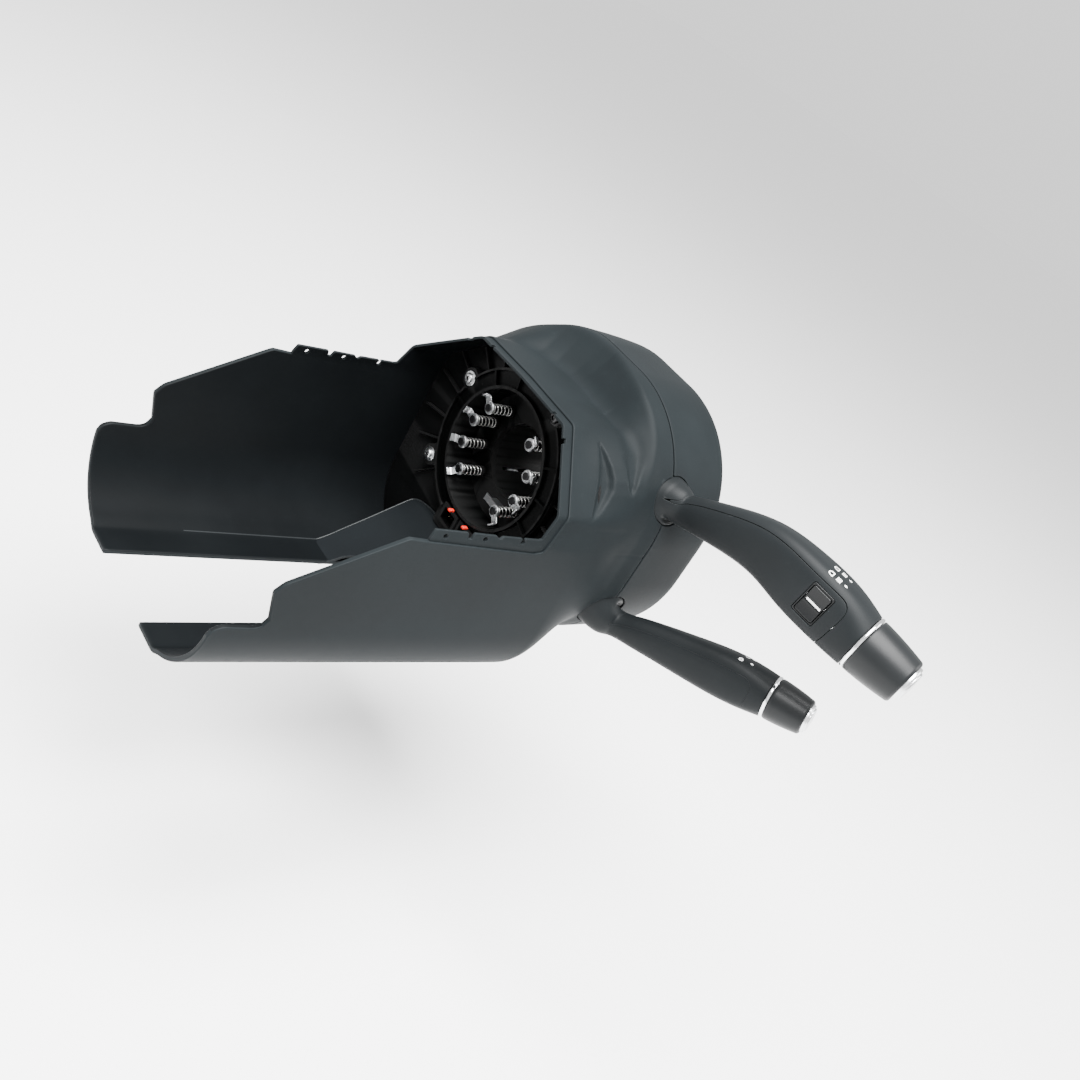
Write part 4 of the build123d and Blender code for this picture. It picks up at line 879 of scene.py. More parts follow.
def build_cover():
    P = cover_grid()
    N = grid_normals(P, True)
    if N[2, 0] @ v3(1, 0, 0) < 0:
        N = -N
    zz = P[..., 2] - DZ
    F = ball_distance(P) - 0.6
    F = np.minimum(F, 1e3)
    shell = trimmed_shell("cover_shell", P, F, 2.6, 0.55, True, N=N)
    # tongue that bridges the seam from inside
    deg = np.arange(0, 360, 1.0)
    a = np.radians(deg)
    Y = np.linspace(-5.6, 3.8, 12)
    r = drum_radii(deg, 4.4)
    T = np.stack([np.stack([r * np.cos(a), np.full(len(a), y), r * np.sin(a) + DZ], 1) for y in Y])
    Nt = grid_normals(T, True)
    if Nt[2, 0] @ v3(1, 0, 0) < 0:
        Nt = -Nt
    tongue = trimmed_shell("cover_tongue", T, ball_distance(T) - 0.3, 1.8, 0.3, True, N=Nt, steps=2)
    # screw pillars
    parts = []
    for x, z in SCREW_XZ:
        parts.append(lathe([(0.6, 2.0), (0.6, 5.4), (1.0, 6.0), (96.0, 6.0), (101.0, 7.4), (101.0, 2.0), (0.6, 2.0)], (x, 48.0, z), (0, -1, 0), 40))
    pillars = shade_auto(join_meshes("cover_pillars", parts), 30)
    return shell, tongue, pillars


# ---------------------------------------------------------------------------
# Inside of the housing: bulkhead, ramp, ribs, floor details
# ---------------------------------------------------------------------------
def skin_loop(y, inset, step=1.5):
    deg = np.arange(-90, 270, step)
    r = skin_radii(np.array([float(y)]), deg, 0.0)[0] - inset
    a = np.radians(deg)
    return [(float(x), float(z)) for x, z in zip(r * np.cos(a), r * np.sin(a) + DZ)]


def bar(p, q, w, h, normal):
    """Rib with a rounded back from p to q, w wide, h tall along normal, as (verts, faces)."""
    p, q, n = np.array(p, float), np.array(q, float), unit(normal)
    t = unit(q - p)
    s = np.cross(n, t)
    prof = [(-w / 2, 0), (-w / 2, h - w * 0.3), (-w * 0.3, h - w * 0.08), (0, h), (w * 0.3, h - w * 0.08), (w / 2, h - w * 0.3), (w / 2, 0)]
    vs = [p + s * a + n * b for a, b in prof] + [q + s * a + n * b for a, b in prof]
    m = len(prof)
    fs = [(i, i + 1, i + 1 + m, i + m) for i in range(m - 1)] + [(m - 1, 0, m, 2 * m - 1)]
    fs += [tuple(range(m))[::-1], tuple(range(m, 2 * m))]
    return np.array(vs), fs


def poly_ring(pts, y0, y1, w):
    """Closed upright wall along a polygon in the XZ plane, from y0 to y1, w thick."""
    parts = []
    P = [np.array((x, 0, z)) for x, z in pts]
    m = len(P)
    inner, outer = [], []
    for i in range(m):
        a, b, c = P[i - 1], P[i], P[(i + 1) % m]
        d0, d1 = unit(b - a), unit(c - b)
        n0, n1 = np.array((d0[2], 0, -d0[0])), np.array((d1[2], 0, -d1[0]))
        k = unit(n0 + n1)
        s = (w / 2) / max(0.3, k @ n0)
        inner.append(b - k * s)
        outer.append(b + k * s)
    e = min(0.25, w * 0.25)
    vs, fs = [], []
    for i in range(m):
        o, n_ = outer[i], inner[i]
        k = (n_ - o) / np.linalg.norm(n_ - o)
        for p, y in ((o, y0), (o, y1 - e), (o + k * e, y1), (n_ - k * e, y1), (n_, y1 - e), (n_, y0)):
            vs.append(np.array((p[0], y, p[2])))
    for i in range(m):
        j = (i + 1) % m
        for q in range(6):
            r = (q + 1) % 6
            fs.append((i * 6 + q, i * 6 + r, j * 6 + r, j * 6 + q))
    return np.array(vs), fs


def fix_normals(ob):
    bm = bmesh.new()
    bm.from_mesh(ob.data)
    bmesh.ops.recalc_face_normals(bm, faces=bm.faces)
    bm.to_mesh(ob.data)
    bm.free()
    return ob


def build_bulkhead():
    hole = []
    n = 120
    z = -math.sqrt(50.0 ** 2 - 21.0 ** 2)
    a0 = math.atan2(z, 21.0)
    a1 = math.atan2(z, -21.0) + 2 * math.pi
    for k in range(n + 1):
        a = a0 + (a1 - a0) * k / n
        hole.append((50.0 * math.cos(a), 50.0 * math.sin(a)))
    hole += [(-21.0, -67.4), (-20.4, -68.0), (20.4, -68.0), (21.0, -67.4)]
    loops = [skin_loop(50.0, 2.7, 2.0), hole] + [circle(x, z2, 2.6, 20) for x, z2 in SCREW_XZ]
    return plate("housing_bulkhead", loops, (0, 52, 0), (1, 0, 0), (0, 0, 1), 4.0, 0.4)


def build_inner_ribs():
    """Ribs and bosses on the rear of the bulkhead round the module, and the column guide."""
    parts = []
    up = (0, 1, 0)
    # polygonal wall round the opening
    ring = [(53.6 * math.cos(math.radians(a)), 53.6 * math.sin(math.radians(a))) for a in (-58, -30, 0, 30, 60, 90, 120, 150, 180, 210, 238)]
    for p, q in zip(ring, ring[1:]):
        parts.append(bar((p[0], 51.6, p[1]), (q[0], 51.6, q[1]), 1.3, 5.2, up))
    # spokes from the wall to the skin
    for d, r1 in ((8, 84), (22, 84), (38, 74), (52, 62), (68, 60), (84, 58.5), (98, 58.5), (114, 60), (129, 64), (143, 72), (158, 84), (172, 84), (188, 84), (204, 84), (222, 84), (318, 84), (336, 84), (350, 84)):
        a = math.radians(d)
        c, s = math.cos(a), math.sin(a)
        r = skin_radii(np.array([52.0]), np.array([float(d)]), 0.0)[0][0] - 4.0
        # ray from the column axis to the skin
        rr = min(r1, r + DZ * s)
        parts.append(bar((54.2 * c, 51.7, 54.2 * s), (rr * c, 51.7, rr * s), 1.2, 3.6, up))
    ribs = fix_normals(join_meshes("housing_ribs", parts))
    shade_auto(ribs, 30)
    bosses = []
    for x, z in SCREW_XZ:
        bosses.append(lathe([(51.4, 2.6), (51.4, 8.4), (51.9, 8.0), (52.6, 7.6), (52.8, 7.2), (52.8, 2.6), (51.4, 2.6)], (x, 0, z), (0, 1, 0), 40))
    boss = shade_auto(join_meshes("housing_bosses", bosses), 30)
    return ribs, boss


RAMP_PATH = ((51.6, -70.6), (54.0, -71.2), (58.0, -72.8), (66.0, -78.2), (75.5, -84.9), (86.0, -92.0), (96.7, -99.1), (105.4, -105.1), (110.0, -107.9), (114.5, -109.9), (119.0, -110.9), (123.0, -111.3))
RAMP_X = 50.6


def floor_z(y):
    f = (y - 49.0) / (Y_TAIL - 49.0)
    return DZ + WALL - (ZB_FRONT + (ZB_TAIL - ZB_FRONT) * f)


def ramp_top(x, y):
    """Height of the ramp: highest in the middle where it meets the bulkhead, then one even slope."""
    z = float(np.interp(y, [q[0] for q in RAMP_PATH], [q[1] for q in RAMP_PATH]))
    crown = 6.3 * (1 - min(1.0, abs(x) / RAMP_X) ** 4)
    return z + crown * (1 - float(smooth01(np.array((y - 52.0) / 26.0))))


def build_ramp():
    """Slanted panel from the bulkhead down to the shroud floor, with its side walls and the cut for the slot."""
    ys = np.concatenate([np.linspace(51.6, 60, 15), np.linspace(61, 122, 82)])
    xt = np.linspace(-49.6, 49.6, 67)
    P = np.empty((len(ys), len(xt) + 20, 3))
    for i, y in enumerate(ys):
        e = ramp_top(RAMP_X, y)
        lo = min(floor_z(y) - 0.9, e - 1.6)
        side = [(51.8 - 0.2 * k / 5, lo + (e - 1.0 - lo) * k / 5) for k in range(6)] + [(51.45, e - 0.62), (51.1, e - 0.26), (50.6, e - 0.06), (50.1, e)]
        row = [(-x, z) for x, z in side] + [(x, ramp_top(x, y)) for x in xt] + side[::-1]
        for j, (x, z) in enumerate(row):
            P[i, j] = (x, y, z)
    N = grid_normals(P, False)
    if N[30, 40][2] < 0:
        N = -N
    cut = rounded_box_distance(P[..., 0], P[..., 1], 0.0, (SLOT_Y + 330) / 2, SLOT_X, (330 - SLOT_Y) / 2, 12.0)
    return trimmed_shell("housing_ramp", P, cut - 0.3, 2.0, 0.3, False, N=N, steps=2)


def build_floor_details():
    """Long bead on each side: along the floor, up the edge of the ramp and round its top."""
    parts = []
    for sx in (-1, 1):
        pts = [(sx * RAMP_X, y, floor_z(y) + 0.3) for y in np.linspace(209.0, 122.0, 50)]
        pts += [(sx * RAMP_X, y, max(floor_z(y) + 0.3, ramp_top(RAMP_X, y) + 0.1)) for y in np.linspace(120.0, 57.0, 46)]
        for k in range(1, 7):
            t = math.radians(15 * k)
            x, y = RAMP_X - 3.4 + 3.4 * math.cos(t), 56.4 - 3.0 * math.sin(t)
            pts.append((sx * x, y, ramp_top(x, y) + 0.15))
        pts += [(sx * x, 53.3, ramp_top(x, 53.3) + 0.15) for x in np.linspace(46.0, 12.0, 30)]
        parts.append(tube(pts, 0.6, 10))
    beads = shade_auto(join_meshes("housing_floor_beads", parts), 40)
    return beads


POST_DEG = (41, 13, -17, -48, 128, 162, 195, 227)
EAR_DEG = ()


def build_contacts():
    """Contact springs as wound wire, and ring terminals with crimp tabs."""
    coils, terms, posts = [], [], []
    for k, d in enumerate(POST_DEG):
        a = math.radians(d)
        c, s = math.cos(a), math.sin(a)
        o = v3(32.5 * c, 0, 32.5 * s)
        coils.append(coil(o + v3(0, 43.2, 0), (0, 1, 0), 3.15, 0.62, 15.4, 4.6, 24, 8, start=v3(0, 0, 1)))
        terms.append(lathe([(58.9, 2.1), (58.9, 3.9), (59.1, 4.1), (60.2, 4.1), (60.5, 3.8), (60.5, 2.3), (60.3, 2.1), (58.9, 2.1)], o, (0, 1, 0), 40))
        # folded tab reaching outwards, bent up at its end
        e, w = v3(c, 0, s), v3(-s, 0, c)
        path = [(3.6, 59.7), (6.4, 59.7), (7.4, 59.9), (8.0, 60.6), (8.3, 61.6), (8.3, 63.4)]
        vs, fs = [], []
        for r, y in path:
            for dw, dn in ((-2.4, -0.45), (2.4, -0.45), (2.4, 0.45), (-2.4, 0.45)):
                vs.append(v3(32.5 * c, 0, 32.5 * s) + e * (r - (dn if y > 60.2 else 0)) + w * dw + v3(0, y + (dn if y <= 60.2 else 0), 0))
        m = len(path)
        for i in range(m - 1):
            for q in range(4):
                r2 = (q + 1) % 4
                fs.append((i * 4 + q, i * 4 + r2, (i + 1) * 4 + r2, (i + 1) * 4 + q))
        fs += [(3, 2, 1, 0), (m * 4 - 4, m * 4 - 3, m * 4 - 2, m * 4 - 1)]
        terms.append((np.array(vs), fs))
    cs = shade_auto(join_meshes("contact_coils", coils), 60)
    ts = fix_normals(join_meshes("terminal_rings", terms))
    shade_auto(ts, 30)
    for ob in (ts,):
        bev = ob.modifiers.new("soft", "BEVEL")
        bev.width, bev.segments, bev.limit_method, bev.angle_limit = 0.00012, 2, "ANGLE", math.radians(50)
    return cs, ts


def pan_head(o, r, h, n=48):
    """Pan head on the rear side, with a washer face and a round recess cut in by the profile."""
    prof = [(0.0, r * 0.45), (0.0, r + 1.3), (0.15, r + 1.5), (0.55, r + 1.5), (0.7, r + 1.3), (0.7, r), (h * 0.55, r), (h * 0.8, r * 0.93), (h * 0.95, r * 0.78), (h, r * 0.6), (h, r * 0.42), (h * 0.6, r * 0.36), (h * 0.45, 0.0)]
    prof[0] = (0.0, 0.0)
    return lathe(prof, o, (0, 1, 0), n)


def cross_shade_bars(o, r, h):
    """Four near-black bars on the head that paint the shade of a cross drive recess."""
    parts = []
    for k in range(2):
        a = math.radians(20 + 90 * k)
        d = v3(math.cos(a), 0, math.sin(a))
        p, q = o - d * r + v3(0, h, 0), o + d * r + v3(0, h, 0)
        parts.append(bar(p, q, 0.9, 0.35, (0, 1, 0)))
    return parts


def build_screws():
    heads, dark, arms = [], [], []
    for x, z in SCREW_XZ:
        # the two screws at x < 0 are the same zinc screws, made near-black as painted shade
        to = heads if x > 0 else dark
        to.append(pan_head(v3(x, 58.0, z), 3.4, 2.9))
        to.append(lathe([(-12.0, 0.0), (-12.0, 2.1), (-11.5, 2.3), (0.2, 2.3), (0.2, 0.0)], v3(x, 58.0, z), (0, 1, 0), 24))
        if x > 0:
            # near-black bars on the zinc heads paint the shade of the cross recess
            arms += cross_shade_bars(v3(x, 58.0, z), 2.0, 2.62)
    h = shade_auto(join_meshes("module_screws", heads), 35)
    d = shade_auto(join_meshes("module_screws_near_painted_shade", dark), 35)
    c = fix_normals(join_meshes("module_screw_recess_painted_shade", arms))
    return h, d, shade_auto(c, 35)


def build_interior():
    out = []
    ramp = build_ramp()
    bulk = build_bulkhead()
    ribs, boss = build_inner_ribs()
    beads = build_floor_details()
    for ob in (bulk, ramp, ribs, boss, beads):
        out.append((ob, "housing", "housing_plastic", MAT["bead"] if ob is beads else MAT["ramp"] if ob is ramp else MAT["inner"]))
    cs, ts = build_contacts()
    out.append((cs, "housing", "spring_steel", MAT["spring"], ("contact_springs",)))
    out.append((ts, "housing", "zinc_steel", MAT["zinc"], ("ring_terminals",)))
    h, d, c = build_screws()
    out.append((h, "housing", "zinc_steel", MAT["zinc"], ("carrier_screws",)))
    # near-side screw heads painted near-black as shade
    out.append((d, "housing", "zinc_steel", MAT["blackened"]))
    # near-black bars painting the shade of the cross recesses
    out.append((c, "housing", "inner_plastic", MAT["inner"]))
    locks = [plate("lock_a", [rounded_rect(5.6, -45.6, 2.6, 1.6, 0.4)], (0, 66.6, 0), (1, 0, 0), (0, 0, 1), 4.0, 0.3), plate("lock_b", [rounded_rect(-12.0, -45.6, 2.6, 1.6, 0.4)], (0, 66.6, 0), (1, 0, 0), (0, 0, 1), 4.0, 0.3)]
    out.append((locks[0], "housing", "red_lock", MAT["red"], ("connector_locks",)))
    out.append((locks[1], "housing", "red_lock", MAT["red"]))
    return out


# ---------------------------------------------------------------------------
# Stalk surfaces
# ---------------------------------------------------------------------------
STATIONS = {
    "upper": [
        ((-95.6, -6.1, 40.4), 20.4, 17.8, 2.0), ((-122.7, -9.0, 50.4), 27.0, 21.0, 2.3), ((-152.3, -15.0, 57.6), 34.5, 25.0, 2.8),
        ((-174.9, -21.0, 56.7), 38.5, 28.5, 3.2), ((-200.5, -30.0, 53.3), 39.0, 32.0, 2.8), ((-219.5, -36.5, 49.6), 35.4, 35.2, 2.0),
    ],
    "lower": [
        ((-97.2, -9.5, -49.2), 17.0, 16.2, 2.0), ((-112.8, -15.0, -43.9), 21.0, 17.0, 2.2), ((-143.8, -28.0, -34.6), 27.5, 21.0, 2.6),
        ((-173.9, -41.0, -26.3), 30.5, 25.0, 2.6), ((-190.6, -50.4, -23.0), 27.6, 27.4, 2.0),
    ],
}
TIP_DIR = {"upper": (-0.948, -0.306, -0.077), "lower": (-0.918, -0.359, 0.168)}
SHELL_WALL = 2.2
# half height and half width of the neck, by share of the way from the ball's rim to the first station
NECK = {
    "upper": ((0.0, 13.6, 13.6), (0.10, 13.2, 12.9), (0.22, 12.8, 12.1), (0.36, 12.3, 11.3), (0.52, 11.7, 10.5), (0.70, 11.1, 9.8), (0.86, 10.6, 9.2)),
    "lower": ((0.0, 13.6, 13.6), (0.10, 13.3, 13.0), (0.22, 12.9, 12.3), (0.36, 12.2, 11.5), (0.52, 11.4, 10.6), (0.70, 10.4, 9.5), (0.86, 9.3, 8.5)),
}
# slanted start of the covering shell: two (distance, height) points
SHELL_START = {"upper": ((-8.8, 2.1), (-0.9, 9.9)), "lower": ((-6.0, 1.6), (1.0, 8.0))}
CONE = {"upper": 43.0, "lower": 43.0}
# parting line of the two shells: distance along the stalk, height above the centre line; then the far end of the panel
PANEL = {
    "upper": [(-40, 1.0), (-8.8, 1.9), (-2, 4.2), (4, 5.8), (15, 7.5), (28, 8.9), (40, 10.2), (56, 12.0), (73, 13.4), (93, 14.4), (104, 14.9), (108.4, 14.9), (111.4, 14.5), (113.8, 13.4), (115.3, 11.8), (116.1, 9.6), (116.4, 6.0), (116.3, 2.0), (116.1, -4.0), (115.8, -10.2), (115.0, -16.0), (112.0, -40), (-40, -40)],
    "lower": [(-40, 1.8), (0, 2.0), (16.5, 4.4), (34, 5.7), (51.4, 6.6), (68, 7.3), (85.2, 7.6), (89.5, 7.4), (92.4, 6.4), (94.2, 4.6), (94.9, 1.8), (94.8, -3.0), (94.2, -8.0), (93.2, -13.0), (88, -40), (-40, -40)],
}


def spline(x, y, xs):
    """Natural cubic spline; y may have several columns."""
    x, y, xs = np.asarray(x, float), np.asarray(y, float), np.asarray(xs, float)
    n, h = len(x), np.diff(x)
    A, B = np.zeros((n, n)), np.zeros(y.shape)
    A[0, 0] = A[-1, -1] = 1
    for i in range(1, n - 1):
        A[i, i - 1], A[i, i], A[i, i + 1] = h[i - 1], 2 * (h[i - 1] + h[i]), h[i]
        B[i] = 6 * ((y[i + 1] - y[i]) / h[i] - (y[i] - y[i - 1]) / h[i - 1])
    M = np.linalg.solve(A, B)
    k = np.clip(np.searchsorted(x, xs) - 1, 0, n - 2)
    d, e, hk = xs - x[k], x[k + 1] - xs, h[k]
    if y.ndim == 2:
        d, e, hk = d[:, None], e[:, None], hk[:, None]
    return M[k] * e ** 3 / (6 * hk) + M[k + 1] * d ** 3 / (6 * hk) + (y[k] / hk - M[k] * hk / 6) * e + (y[k + 1] / hk - M[k + 1] * hk / 6) * d


class StalkSkin:
    def __init__(self, tag, fr):
        self.tag, self.fr = tag, fr
        rows = STATIONS[tag]
        self.c = np.array([r[0] for r in rows], float)
        self.a = unit(TIP_DIR[tag])
        self.arc = np.concatenate([[0], np.cumsum(np.linalg.norm(np.diff(self.c, axis=0), axis=1))])
        self.L = self.arc[-1]
        t = []
        for i in range(len(self.c)):
            d = self.a if i == len(self.c) - 1 else (self.c[1] - self.c[0] + fr.u * 8.0 if i == 0 else self.c[i + 1] - self.c[i - 1])
            t.append(unit(d))
        self.t = np.array(t)
        self.h = np.array([r[1] / 2 for r in rows])
        self.b = np.array([r[2] / 2 for r in rows])
        self.e = np.array([r[3] for r in rows])
        self.nd = unit(self.c[0] - fr.p)
        self.reach = np.linalg.norm(self.c[0] - fr.p)
        self.tip = self.c[-1]

    def frames(self, s):
        s = np.atleast_1d(np.asarray(s, float))
        c = spline(self.arc, self.c, s)
        t = spline(self.arc, self.t, s)
        t /= np.linalg.norm(t, axis=1)[:, None]
        n = v3(0, 1, 0) - t * t[:, 1:2]
        n /= np.linalg.norm(n, axis=1)[:, None]
        up = np.cross(t, n)
        up *= np.sign(up[:, 2:3])
        return c, t, n, up

    def section(self, s):
        return spline(self.arc, self.h, s), spline(self.arc, self.b, s), spline(self.arc, self.e, s)

    def surface(self, s, a, inset=0.0):
        """Points for arrays s (rows) and a (cols, radians; 0 faces +Y, 90 degrees is the top)."""
        c, t, n, up = self.frames(s)
        h, b, e = self.section(s)
        ca, sa = np.cos(a)[None, :], np.sin(a)[None, :]
        r = (np.abs(ca) ** e[:, None] + np.abs(sa) ** e[:, None]) ** (-1 / e[:, None])
        x, y = (b[:, None] - inset) * r * ca, (h[:, None] - inset) * r * sa
        return c[:, None, :] + n[:, None, :] * x[..., None] + up[:, None, :] * y[..., None], y

    def spot(self, s, deg):
        """Point, along direction, round direction and outward normal on the skin at distance s and angle deg."""
        P, _ = self.surface(np.array([s - 0.5, s, s + 0.5]), np.radians(np.array([deg - 1.5, deg, deg + 1.5])))
        ds, dv = unit(P[2, 1] - P[0, 1]), unit(P[1, 2] - P[1, 0])
        nn = unit(np.cross(ds, dv))
        if nn @ (P[1, 1] - self.frames([s])[0][0]) < 0:
            nn = -nn
        return P[1, 1], ds, unit(dv - ds * (dv @ ds)), nn


SKIN = {"upper": StalkSkin("upper", UP), "lower": StalkSkin("lower", LO)}
_u = SKIN["upper"]
R_AX = unit(_u.c[4] - _u.c[3])
_n = unit(v3(0, 1, 0) - R_AX * R_AX[1])
_up = np.cross(_n, R_AX)
_up = _up * np.sign(_up[2])
TILT = math.radians(2.5)
R_N = unit(_n * math.cos(TILT) - _up * math.sin(TILT))
R_UP = unit(_up * math.cos(TILT) + _n * math.sin(TILT))
R_C = _u.c[3] + (_u.c[4] - _u.c[3]) * 0.588 + _up * 1.2 - R_N * 0.7


def stalk_grid(tag):
    """Ball, neck and stalk as one grid: rows of points, s of each row and height above the centre line."""
    sk = SKIN[tag]
    fr = sk.fr
    a = np.radians(np.arange(0, 360, 2.0))
    ca, sa = np.cos(a), np.sin(a)
    Z = v3(0, 1, 0)
    rows, S, DU = [], [], []
    up_u = np.cross(fr.u, Z)
    up_u = up_u * np.sign(up_u[2])
    q0 = math.degrees(math.acos(13.3 / 19.0))
    c0, t0 = sk.c[0], sk.frames([0.0])[1][0]
    A = fr.p + fr.u * 13.3
    gap = np.linalg.norm(c0 - A)
    for d in np.linspace(97.0, q0, 26)[:-1]:
        r, x = 19.0 * math.sin(math.radians(d)), 19.0 * math.cos(math.radians(d))
        rows.append(fr.p + fr.u * x + Z * (r * ca)[:, None] + up_u * (r * sa)[:, None])
        S.append(-gap - 19.0 * math.radians(d - q0))
        DU.append(r * sa)
    tab = NECK[tag] + ((1.0, sk.h[0], sk.b[0]),)
    for k in range(24):
        t = k / 24
        h0, h1, h2, h3 = 2 * t ** 3 - 3 * t ** 2 + 1, t ** 3 - 2 * t ** 2 + t, -2 * t ** 3 + 3 * t ** 2, t ** 3 - t ** 2
        c = A * h0 + fr.u * gap * h1 + c0 * h2 + t0 * gap * h3
        g0, g1, g2, g3 = 6 * t * t - 6 * t, 3 * t * t - 4 * t + 1, -6 * t * t + 6 * t, 3 * t * t - 2 * t
        d = unit(A * g0 + fr.u * gap * g1 + c0 * g2 + t0 * gap * g3)
        n = unit(Z - d * d[1])
        up = np.cross(d, n)
        up = up * np.sign(up[2])
        hh = float(np.interp(t, [q[0] for q in tab], [q[1] for q in tab]))
        bb = float(np.interp(t, [q[0] for q in tab], [q[2] for q in tab]))
        rows.append(c + n * (bb * ca)[:, None] + up * (hh * sa)[:, None])
        S.append(-gap * (1 - t))
        DU.append(hh * sa)
    P0 = np.array(rows)
    s1 = np.concatenate([np.arange(0.0, sk.L - 0.5, 1.0), [sk.L - 0.1]])
    P1, du1 = sk.surface(s1, a)
    P = np.concatenate([P0, P1])
    S = np.concatenate([S, s1])
    DU = np.concatenate([np.array(DU), du1])
    # keep what lies outside the ball within the cone the opening allows
    D = P - fr.p
    r = np.linalg.norm(D, axis=2)
    x = D @ fr.u
    ang = np.degrees(np.arccos(np.clip(x / np.maximum(r, 1e-9), -1, 1)))
    cone = CONE[tag] + np.maximum(r - 20.5, 0.0) * 3.0
    far = (r > 18.95) & (ang > cone) & (S[:, None] > -gap + 0.01)
    side = D - x[..., None] * fr.u
    side /= np.maximum(np.linalg.norm(side, axis=2), 1e-9)[..., None]
    lim = np.radians(cone)[..., None]
    capped = fr.p + (fr.u * np.cos(lim) + side * np.sin(lim)) * r[..., None]
    ball = fr.p + D / np.maximum(r, 1e-9)[..., None] * 19.0
    P = np.where((far & (r > 19.0))[..., None], np.where((r < 19.8)[..., None], ball, capped), P)
    # soften the joins of ball, neck and clamp
    n1 = 25 + 24 + 16
    for _ in range(55):
        Q = P.copy()
        Q[20:n1] = 0.5 * P[20:n1] + 0.25 * (P[19:n1 - 1] + P[21:n1 + 1])
        Q[:n1] = 0.6 * Q[:n1] + 0.2 * (np.roll(Q[:n1], 1, 1) + np.roll(Q[:n1], -1, 1))
        w = (smooth01((np.arange(n1) - 21.0) / 5.0) * smooth01((n1 - 1.0 - np.arange(n1)) / 8.0))[:, None, None]
        P[:n1] = P[:n1] * (1 - w) + Q[:n1] * w
    return P, np.repeat(S[:, None], P.shape[1], 1), DU


def skin_pieces(tag):
    sk = SKIN[tag]
    P, S, DU = stalk_grid(tag)
    N = grid_normals(P, True)
    c = sk.frames([sk.L / 2])[0][0]
    i = P.shape[0] - 40
    if N[i, 0] @ v3(0, 1, 0) < 0:
        N = -N
    D = poly_distance(S, DU, PANEL[tag])
    (sa, da), (sb, db) = SHELL_START[tag]
    nx, ny = (db - da), -(sb - sa)
    L = math.hypot(nx, ny)
    start = ((S - sa) * nx + (DU - da) * ny) / L
    if tag == "upper":
        # shallow pocket on top of the ball, ahead of the covering shell
        pocket = smooth01((-start + 0.2) / 0.5) * smooth01((S + 9.6) / 0.6) * smooth01((DU - 2.4) / 0.8) * smooth01((0.5 - S) / 4.0)
        P = P - N * (0.28 * pocket)[..., None]
        N = grid_normals(P, True)
        if N[i, 0] @ v3(0, 1, 0) < 0:
            N = -N
    end = sk.L - 0.1 - S
    head = np.minimum(S - S[0, 0], 30.0)
    rho, gap = (0.30, 0.11) if tag == "upper" else (0.16, 0.02)
    below = np.minimum(np.maximum(-start, -D), np.minimum(head, end)) - rho - gap
    above = np.minimum(np.minimum(start, D), end) - rho - gap
    hole = None
    if tag == "upper":
        rel = P - R_C
        x, y, z = rel @ R_AX, rel @ R_UP, rel @ R_N
        box = rounded_box_distance(x, y, 0.0, 0.0, 7.9, 11.1, 1.3)
        below = np.minimum(below, np.where(z > 0, box - rho, 1e3))
    lower = trimmed_shell(tag + "_panel_and_ball", P, below, SHELL_WALL - 0.3, rho, True, N=N)
    upper = trimmed_shell(tag + "_shell", P, above, SHELL_WALL - 0.3, rho, True, N=N)
    return lower, upper


def icon(name, tag, s, deg, loops, rot=0.0, depth=0.09):
    """Small print on the skin; loops are in mm along the stalk and up."""
    p, x, y, n = SKIN[tag].spot(s, deg)
    c, q = math.cos(math.radians(rot)), math.sin(math.radians(rot))
    x2, y2 = x * c + y * q, y * c - x * q
    if np.cross(x2, y2) @ n < 0:
        x2 = -x2
        loops = [[(-a, b) for a, b in loop] for loop in loops]
    return plate(name, loops, p - n * 0.035, x2, y2, depth, 0.02, 1)


def arch_loop(w, h, n=10):
    pts = [(-w / 2, 0.0), (w / 2, 0.0)]
    for k in range(n + 1):
        t = math.pi * k / n
        pts.append((w / 2 * math.cos(t), h * 0.35 + h * 0.65 * math.sin(t)))
    return pts


def build_rocker():
    """Rocker with a saddle face, its frame and the white bar."""
    x = np.linspace(-7.2, 7.2, 40)
    y = np.linspace(-10.2, 10.2, 60)
    X, Y = np.meshgrid(x, y)
    H = 14.55 + 1.15 * (np.abs(Y) / 9.3) ** 1.5 - 0.10 * np.exp(-(Y / 1.1) ** 2) + 0.12 * np.exp(-((np.abs(Y) - 1.7) / 0.45) ** 2) * (np.abs(X) < 6.0)
    P = R_C + X[..., None] * R_AX + Y[..., None] * R_UP + H[..., None] * R_N
    N = grid_normals(P, False)
    if N[30, 20] @ R_N < 0:
        N = -N
    F = -rounded_box_distance(X, Y, 0.0, 0.0, 6.45, 9.35, 1.2) - 0.7
    button = trimmed_shell("rocker_face", P, F, 7.0, 0.7, False, N=N)
    outer = rounded_rect(0, 0, 15.3, 21.7, 1.3)
    inner = rounded_rect(0, 0, 13.5, 19.4, 1.25)
    bezel = plate("rocker_frame", [outer, inner], R_C + R_N * 6.0, R_AX, R_UP, 9.0, 0.35)
    floor_ = plate("rocker_well", [rounded_rect(0, 0, 15.2, 21.6, 1.3)], R_C + R_N * 4.8, R_AX, R_UP, 1.2, 0.2)
    bar_ = plate("rocker_bar", [rounded_rect(0.2, 0.0, 10.2, 1.25, 0.3)], R_C + R_N * 14.40, R_AX, R_UP, 0.22, 0.05, 1)
    return button, bezel, floor_, bar_


